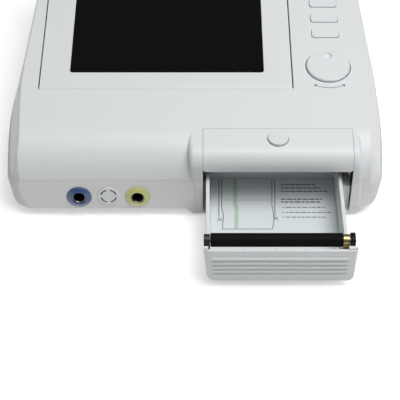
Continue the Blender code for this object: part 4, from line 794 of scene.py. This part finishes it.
for start_x, end_x, y, height in ((79.8, 111.6, 27.0, 1.3), (79.6, 115.9, 22.6, 1.3),
                                  (79.5, 122.1, 18.2, 1.4), (78.9, 116.6, 8.0, 1.6),
                                  (78.8, 114.6, 4.5, 1.6), (82.6, 118.7, -2.4, 1.0),
                                  (82.6, 125.0, -8.7, 1.0), (82.6, 118.8, -14.6, 1.0)):
    x, count = start_x, 0
    while x < end_x - shortest_rest:
        longer_by = (count * 37 + y * 13) % 29 / 8
        word = min(shortest_word + longer_by, end_x - x)
        notes.append(strip((x, y), (x + word, y), height))
        x, count = x + word + word_gap, count + 1
dot_left_x, dot_right_x, dot_size = 79.7, 80.9, 1.2
for y in (-2.4, -8.7, -14.6):
    notes.append(strip((dot_left_x, y), (dot_right_x, y), dot_size))
seat(gathered(notes, "sheet_notes"), "drawer", faded_ink, "label")

# Upper casing and printer cover: white ABS like the lower half. The cover is a skin of its own with
# the release button's hole, and the casing has the display's pocket, the knob's cup and the key holes.
clear_z = 0.11
lid_low, lid_high, lid_thickness = (-0.1444, 0.0860), (0.0901, 0.2720), 0.0140
lid_play, lid_front_play, lid_under_play = 0.0012, 0.0004, 0.0006
notch_half_width, notch_reach = 0.020, 0.0112
knob_x, knob_y = 0.1248, 0.1153
cup_radius, cup_low, cup_bore_radius, cup_floor = 0.0240, -0.0072, 0.0214, -0.0046
shaft_radius, shaft_hole_low = 0.00335, -0.0112
key_places = [0.1600 + index * 0.0215 for index in range(5)]
key_hole_half_width, key_hole_half_length, key_hole_low, key_hole_round = 0.0134, 0.00615, -0.0066, 0.0030
key_boss_reach, key_boss_radius, key_boss_low = 0.0167, 0.0025, -0.0049
latch_y, latch_z, latch_pin_radius, latch_pin_span = 0.070, 0.0535, 0.00185, (0.0627, 0.0863)
ear_places, ear_width, ear_radius = (0.0667, 0.0793), 0.0030, 0.0045
hinge_y, hinge_drop, hinge_pin_radius = 0.0886, -0.0026, 0.00165
hinge_spans = ((-0.1479, -0.1422), (0.0879, 0.0936))
bay_rear_y, screw_hole_top_z = 0.0362, 0.0625


def display_pocket(grow, depth):
    """The pocket that the display folds into, with its finger notch."""
    pocket = block((lid_low[0] - lid_play - grow, lid_low[1] - lid_front_play - grow, -depth),
                   (lid_high[0] + lid_play + grow, lid_high[1] + lid_play + grow, overrun))
    middle = (lid_low[0] + lid_high[0]) / 2
    notch = block((middle - notch_half_width - grow, lid_high[1] - wall, -depth),
                  (middle + notch_half_width + grow, lid_high[1] + notch_reach + grow, overrun))
    return placed(carve(pocket, notch, "UNION"), deck)


upper = moulding("upper_casing", level_slab(seam_z + seam_gap / 2, clear_z))
pan = carve(display_pocket(wall, lid_thickness + lid_under_play + wall), twin(outer_form), "INTERSECT")
carve(upper, pan, "UNION")
cup = placed(bar("Z", (knob_x, knob_y), cup_radius, cup_low, -wall / 2, 64), deck)
carve(upper, cup, "UNION")
for x, y in screw_places:
    boss = bar("Z", (x, y), tube_radius, seam_z + seam_gap, roof_z(y, wall / 2), hole_sides)
    carve(upper, carve(boss, twin(outer_form), "INTERSECT"), "UNION")
for low_x in ear_places:
    ear = block((low_x, latch_y - ear_radius, latch_z),
                (low_x + ear_width, latch_y + ear_radius, roof_z(latch_y, wall / 2)))
    carve(ear, bar("X", (latch_y, latch_z), ear_radius, low_x, low_x + ear_width), "UNION")
    carve(upper, ear, "UNION")
for x in (knob_x - key_boss_reach, knob_x + key_boss_reach):
    for y in (key_places[0], key_places[-1]):
        carve(upper, placed(bar("Z", (x, y), key_boss_radius, key_boss_low, -wall / 2, 24), deck), "UNION")
carve(upper, display_pocket(0, lid_thickness + lid_under_play))
carve(upper, placed(bar("Z", (knob_x, knob_y), cup_bore_radius, cup_floor, overrun, 96), deck))
carve(upper, placed(bar("Z", (knob_x, knob_y), shaft_radius, shaft_hole_low, overrun, hole_sides), deck))
for y in key_places:
    hole = block((knob_x - key_hole_half_width, y - key_hole_half_length, key_hole_low),
                 (knob_x + key_hole_half_width, y + key_hole_half_length, overrun))
    pick_edges(hole, lambda a, b: abs(a.z - b.z) > wall)
    round_picked(key_hole_round, 6)
    carve(upper, placed(hole, deck))
carve(upper, block((mouth_left_x, -overrun, seam_z - overrun), (mouth_right_x, bay_rear_y, clear_z)))
for low_x, high_x in hinge_spans:
    carve(upper, placed(bar("X", (hinge_y, hinge_drop), hinge_pin_radius, low_x, high_x, hole_sides), deck))
for x, y in screw_places:
    carve(upper, bar("Z", (x, y), tube_bore_radius, seam_z - overrun, screw_hole_top_z, hole_sides))
carve(upper, bar("X", (latch_y, latch_z), latch_pin_radius, *latch_pin_span, hole_sides))
upper.data.materials[0] = casing_white
seat(upper, "chassis", None, "casing", "top_cover")

cover_left_x, cover_right_x, cover_rear_y, cover_corner_round = 0.0073, 0.1413, 0.0359, 0.0024
button_x, button_y, button_radius, button_hole_radius = 0.0745, 0.0242, 0.00925, 0.0098
cover_span = block((cover_left_x, -overrun, mouth_top_z), (cover_right_x, cover_rear_y, clear_z))
pick_edges(cover_span, lambda a, b: abs(a.y - b.y) > wall and a.z < mouth_top_z + wall)
round_picked(cover_corner_round, 6)
cover = moulding("printer_lid", cover_span)
carve(cover, bar("Z", (button_x, button_y), button_hole_radius, mouth_top_z, clear_z, 64))
cover.data.materials[0] = casing_white
seat(cover, "chassis", None, "casing", "printer_cover")
for form in (outer_form, hollow_form):
    bpy.data.objects.remove(form)

# Release button: a loose round cap of white ABS with a softened rim, on a stem that reaches the latch.
# Its flange is trapped under the printer cover.
button_rise, button_flat_radius, button_rim_round, stem_radius = 0.0010, 0.00875, 0.0005, 0.0030
flange_radius, flange_under, flange_over = 0.01065, 0.0075, 0.0060
button_top = roof_z(button_y + button_radius) + button_rise
button = [(0, mouth_top_z), (stem_radius, mouth_top_z), (stem_radius, button_top - flange_under),
          (flange_radius, button_top - flange_under), (flange_radius, button_top - flange_over),
          (button_radius, button_top - flange_over)]
button += fillet((button_flat_radius, button_top - button_rim_round), button_rim_round, 0, 90, 5)
button += [(0, button_top)]
seat(placed(lathe(button, 96, "button_cap"), Matrix.Translation((button_x, button_y, 0))), "button",
     casing_white, "casing", "release_button")

# Display: a flush lid that folds up on its front edge. White bezel over a black gloss pane with
# round corners, the panel behind it and a flat back.
pane_black = moulded("pane_black", (0.003, 0.003, 0.004), 0.16, 0.1, 300, 0.0, shine=0.07)
panel_grey = moulded("panel_grey", (0.30, 0.31, 0.32), 0.4, 0.1)
window_low, window_high, window_round = (-0.1170, 0.1080), (0.0640, 0.2490), 0.0024
window_play, corner_play, corner_low, corner_top = 0.0004, 0.0001, -0.0021, -0.00002
pane_low, pane_top, pane_edge_round = -0.0017, -0.0002, 0.0002
bezel = softened("lid_bezel", "display", casing_white, "casing", 0.0004, 3)
to_frame = Matrix.Translation((0, -front_to_origin, 0)) @ deck
for x, side_x in ((window_low[0] - window_play, 1), (window_high[0] + window_play, -1)):
    for y, side_y in ((window_low[1] - window_play, 1), (window_high[1] + window_play, -1)):
        inner = (x + side_x * window_round, y + side_y * window_round)
        corner = block((min(x, inner[0]), min(y, inner[1]), corner_low),
                       (max(x, inner[0]), max(y, inner[1]), corner_top))
        carve(corner, bar("Z", inner, window_round - corner_play, -overrun, overrun))
        carve(bezel, placed(corner, to_frame), "UNION")
softened("lid_back", "display", casing_white, "casing", 0.0006, 3)
pane = block((*window_low, pane_low), (*window_high, pane_top), "window_pane")
pick_edges(pane, lambda a, b: abs(a.z - b.z) > seam_gap)
round_picked(window_round, 8)
round_edges(pane, pane_edge_round, 2, angle=60)
seat(placed(pane, deck), "display", pane_black, "pane", "display_window")
repaint(panel_grey, "lcd_module")

# Jog knob: a flat dial with a rolled rim and a finger dimple, on a steel shaft with a brass collar in
# the push encoder's housing.
dial_radius, dial_low, dial_top = 0.0205, -0.0034, 0.0026
rim_centre, rim_round = (0.0187, 0.0008), 0.0018
dimple_radius, dimple_share, dimple_z = 0.0050, 0.58, 0.0051
mark_radius, mark_width, mark_low, mark_top, mark_half_deg = 0.0278, 0.00055, -0.0001, 0.00005, 29
barb_turn_deg, barb_spread_deg, barb_length, barb_half_width = 31, 32, 0.0026, 0.0003
dial = [(shaft_radius, dial_low), (dial_radius, dial_low)] + fillet(rim_centre, rim_round, 0, 90, 8)
dial += [(0, dial_top), (0, seam_gap), (shaft_radius, seam_gap)]
knob = lathe(dial, 96, "knob_dial")
alone()
bpy.ops.mesh.primitive_uv_sphere_add(segments=40, ring_count=24, radius=dimple_radius,
                                     location=(0, dial_radius * dimple_share, dimple_z))
carve(knob, bpy.context.object)
seat(placed(knob, deck @ Matrix.Translation((knob_x, knob_y, 0))), "dial", casing_white, "casing",
     "jog_knob")
marks = [arc_strip(mark_radius, mark_width, mark_low, mark_top, -90 - mark_half_deg, -90 + mark_half_deg, 24)]
for side in (-1, 1):
    at = Matrix.Rotation(radians(side * barb_turn_deg), 4, "Z") @ Matrix.Translation((0, -mark_radius, 0))
    for spread in (-1, 1):
        barb = block((0, -barb_half_width, mark_low), (-side * barb_length, barb_half_width, mark_top))
        marks.append(placed(barb, at @ Matrix.Rotation(radians(spread * barb_spread_deg), 4, "Z")))
mark = placed(gathered(marks, "knob_mark"), deck @ Matrix.Translation((knob_x, knob_y, 0)))
seat(mark, "chassis", ink, "casing")
repaint(plated_steel, "encoder_shaft")
repaint(turned_brass, "encoder_collar")
softened("encoder_body", "chassis", inner_grey, "inner_grey", 0.0003)

# Keys: five moulded white ABS caps with round corners and softened tops, trapped under the deck by
# their flanges.
for index in range(5):
    softened(f"key_{index + 1}", f"key_{index + 1}", casing_white, "casing", 0.0004, 3)

# Studio: a matt white floor that keeps the shadow and glows a little to the camera, one soft lamp
# above on the right, a sky that is brighter overhead, and the photograph's view.
alone()
bpy.ops.mesh.primitive_plane_add(size=8)
floor = bpy.context.object
floor.name = "studio_floor"
paint = bpy.data.materials.new("studio_white")
paint.use_nodes = True
tree = paint.node_tree
tree.nodes.clear()
matt = tree.nodes.new("ShaderNodeBsdfDiffuse")
matt.inputs["Color"].default_value = (0.86, 0.86, 0.86, 1)
glow = tree.nodes.new("ShaderNodeEmission")
rays = tree.nodes.new("ShaderNodeLightPath")
most = tree.nodes.new("ShaderNodeMath")
most.operation = "MAXIMUM"
tree.links.new(rays.outputs["Is Camera Ray"], most.inputs[0])
tree.links.new(rays.outputs["Is Glossy Ray"], most.inputs[1])
all_rays = tree.nodes.new("ShaderNodeMath")
all_rays.operation = "MAXIMUM"
tree.links.new(most.outputs[0], all_rays.inputs[0])
tree.links.new(rays.outputs["Is Transmission Ray"], all_rays.inputs[1])
level = tree.nodes.new("ShaderNodeMath")
level.operation = "MULTIPLY"
floor_glow = 0.42
level.inputs[1].default_value = floor_glow
tree.links.new(all_rays.outputs[0], level.inputs[0])
tree.links.new(level.outputs[0], glow.inputs["Strength"])
both = tree.nodes.new("ShaderNodeAddShader")
tree.links.new(matt.outputs[0], both.inputs[0])
tree.links.new(glow.outputs[0], both.inputs[1])
out = tree.nodes.new("ShaderNodeOutputMaterial")
tree.links.new(both.outputs[0], out.inputs["Surface"])
floor.data.materials.append(paint)

world = bpy.data.worlds.new("studio")
bpy.context.scene.world = world
world.use_nodes = True
world.node_tree.nodes["Background"].inputs["Color"].default_value = (1, 1, 1, 1)
sky = world.node_tree
toward, height = sky.nodes.new("ShaderNodeTexCoord"), sky.nodes.new("ShaderNodeSeparateXYZ")
fade = sky.nodes.new("ShaderNodeMapRange")
for name, value in (("From Min", 0.3), ("From Max", 1.0), ("To Min", 0.08), ("To Max", 0.60)):
    fade.inputs[name].default_value = value
sky.links.new(toward.outputs["Generated"], height.inputs[0])
sky.links.new(height.outputs["Z"], fade.inputs["Value"])
sky.links.new(fade.outputs["Result"], sky.nodes["Background"].inputs["Strength"])
bpy.ops.object.light_add(type="AREA", location=(0.55, -0.30, 1.59))
lamp = bpy.context.object
lamp.name = "key"
lamp.data.energy = 20.0
lamp.data.size = 1.1
lit_place = Vector((0, 0, 0.05))
lamp.rotation_euler = (lit_place - lamp.location).to_track_quat("-Z", "Y").to_euler()

lens = bpy.data.cameras.new("camera")
lens.lens = 116.0
lens.sensor_width = 36
camera = bpy.data.objects.new("camera", lens)
bpy.context.collection.objects.link(camera)
camera.location = (0.0045, -0.9309, 0.8632)
camera.rotation_euler = (radians(44.176), 0, 0)
bpy.context.scene.camera = camera
bpy.context.scene.view_settings.view_transform = "Standard"

bpy.context.view_layer.update()
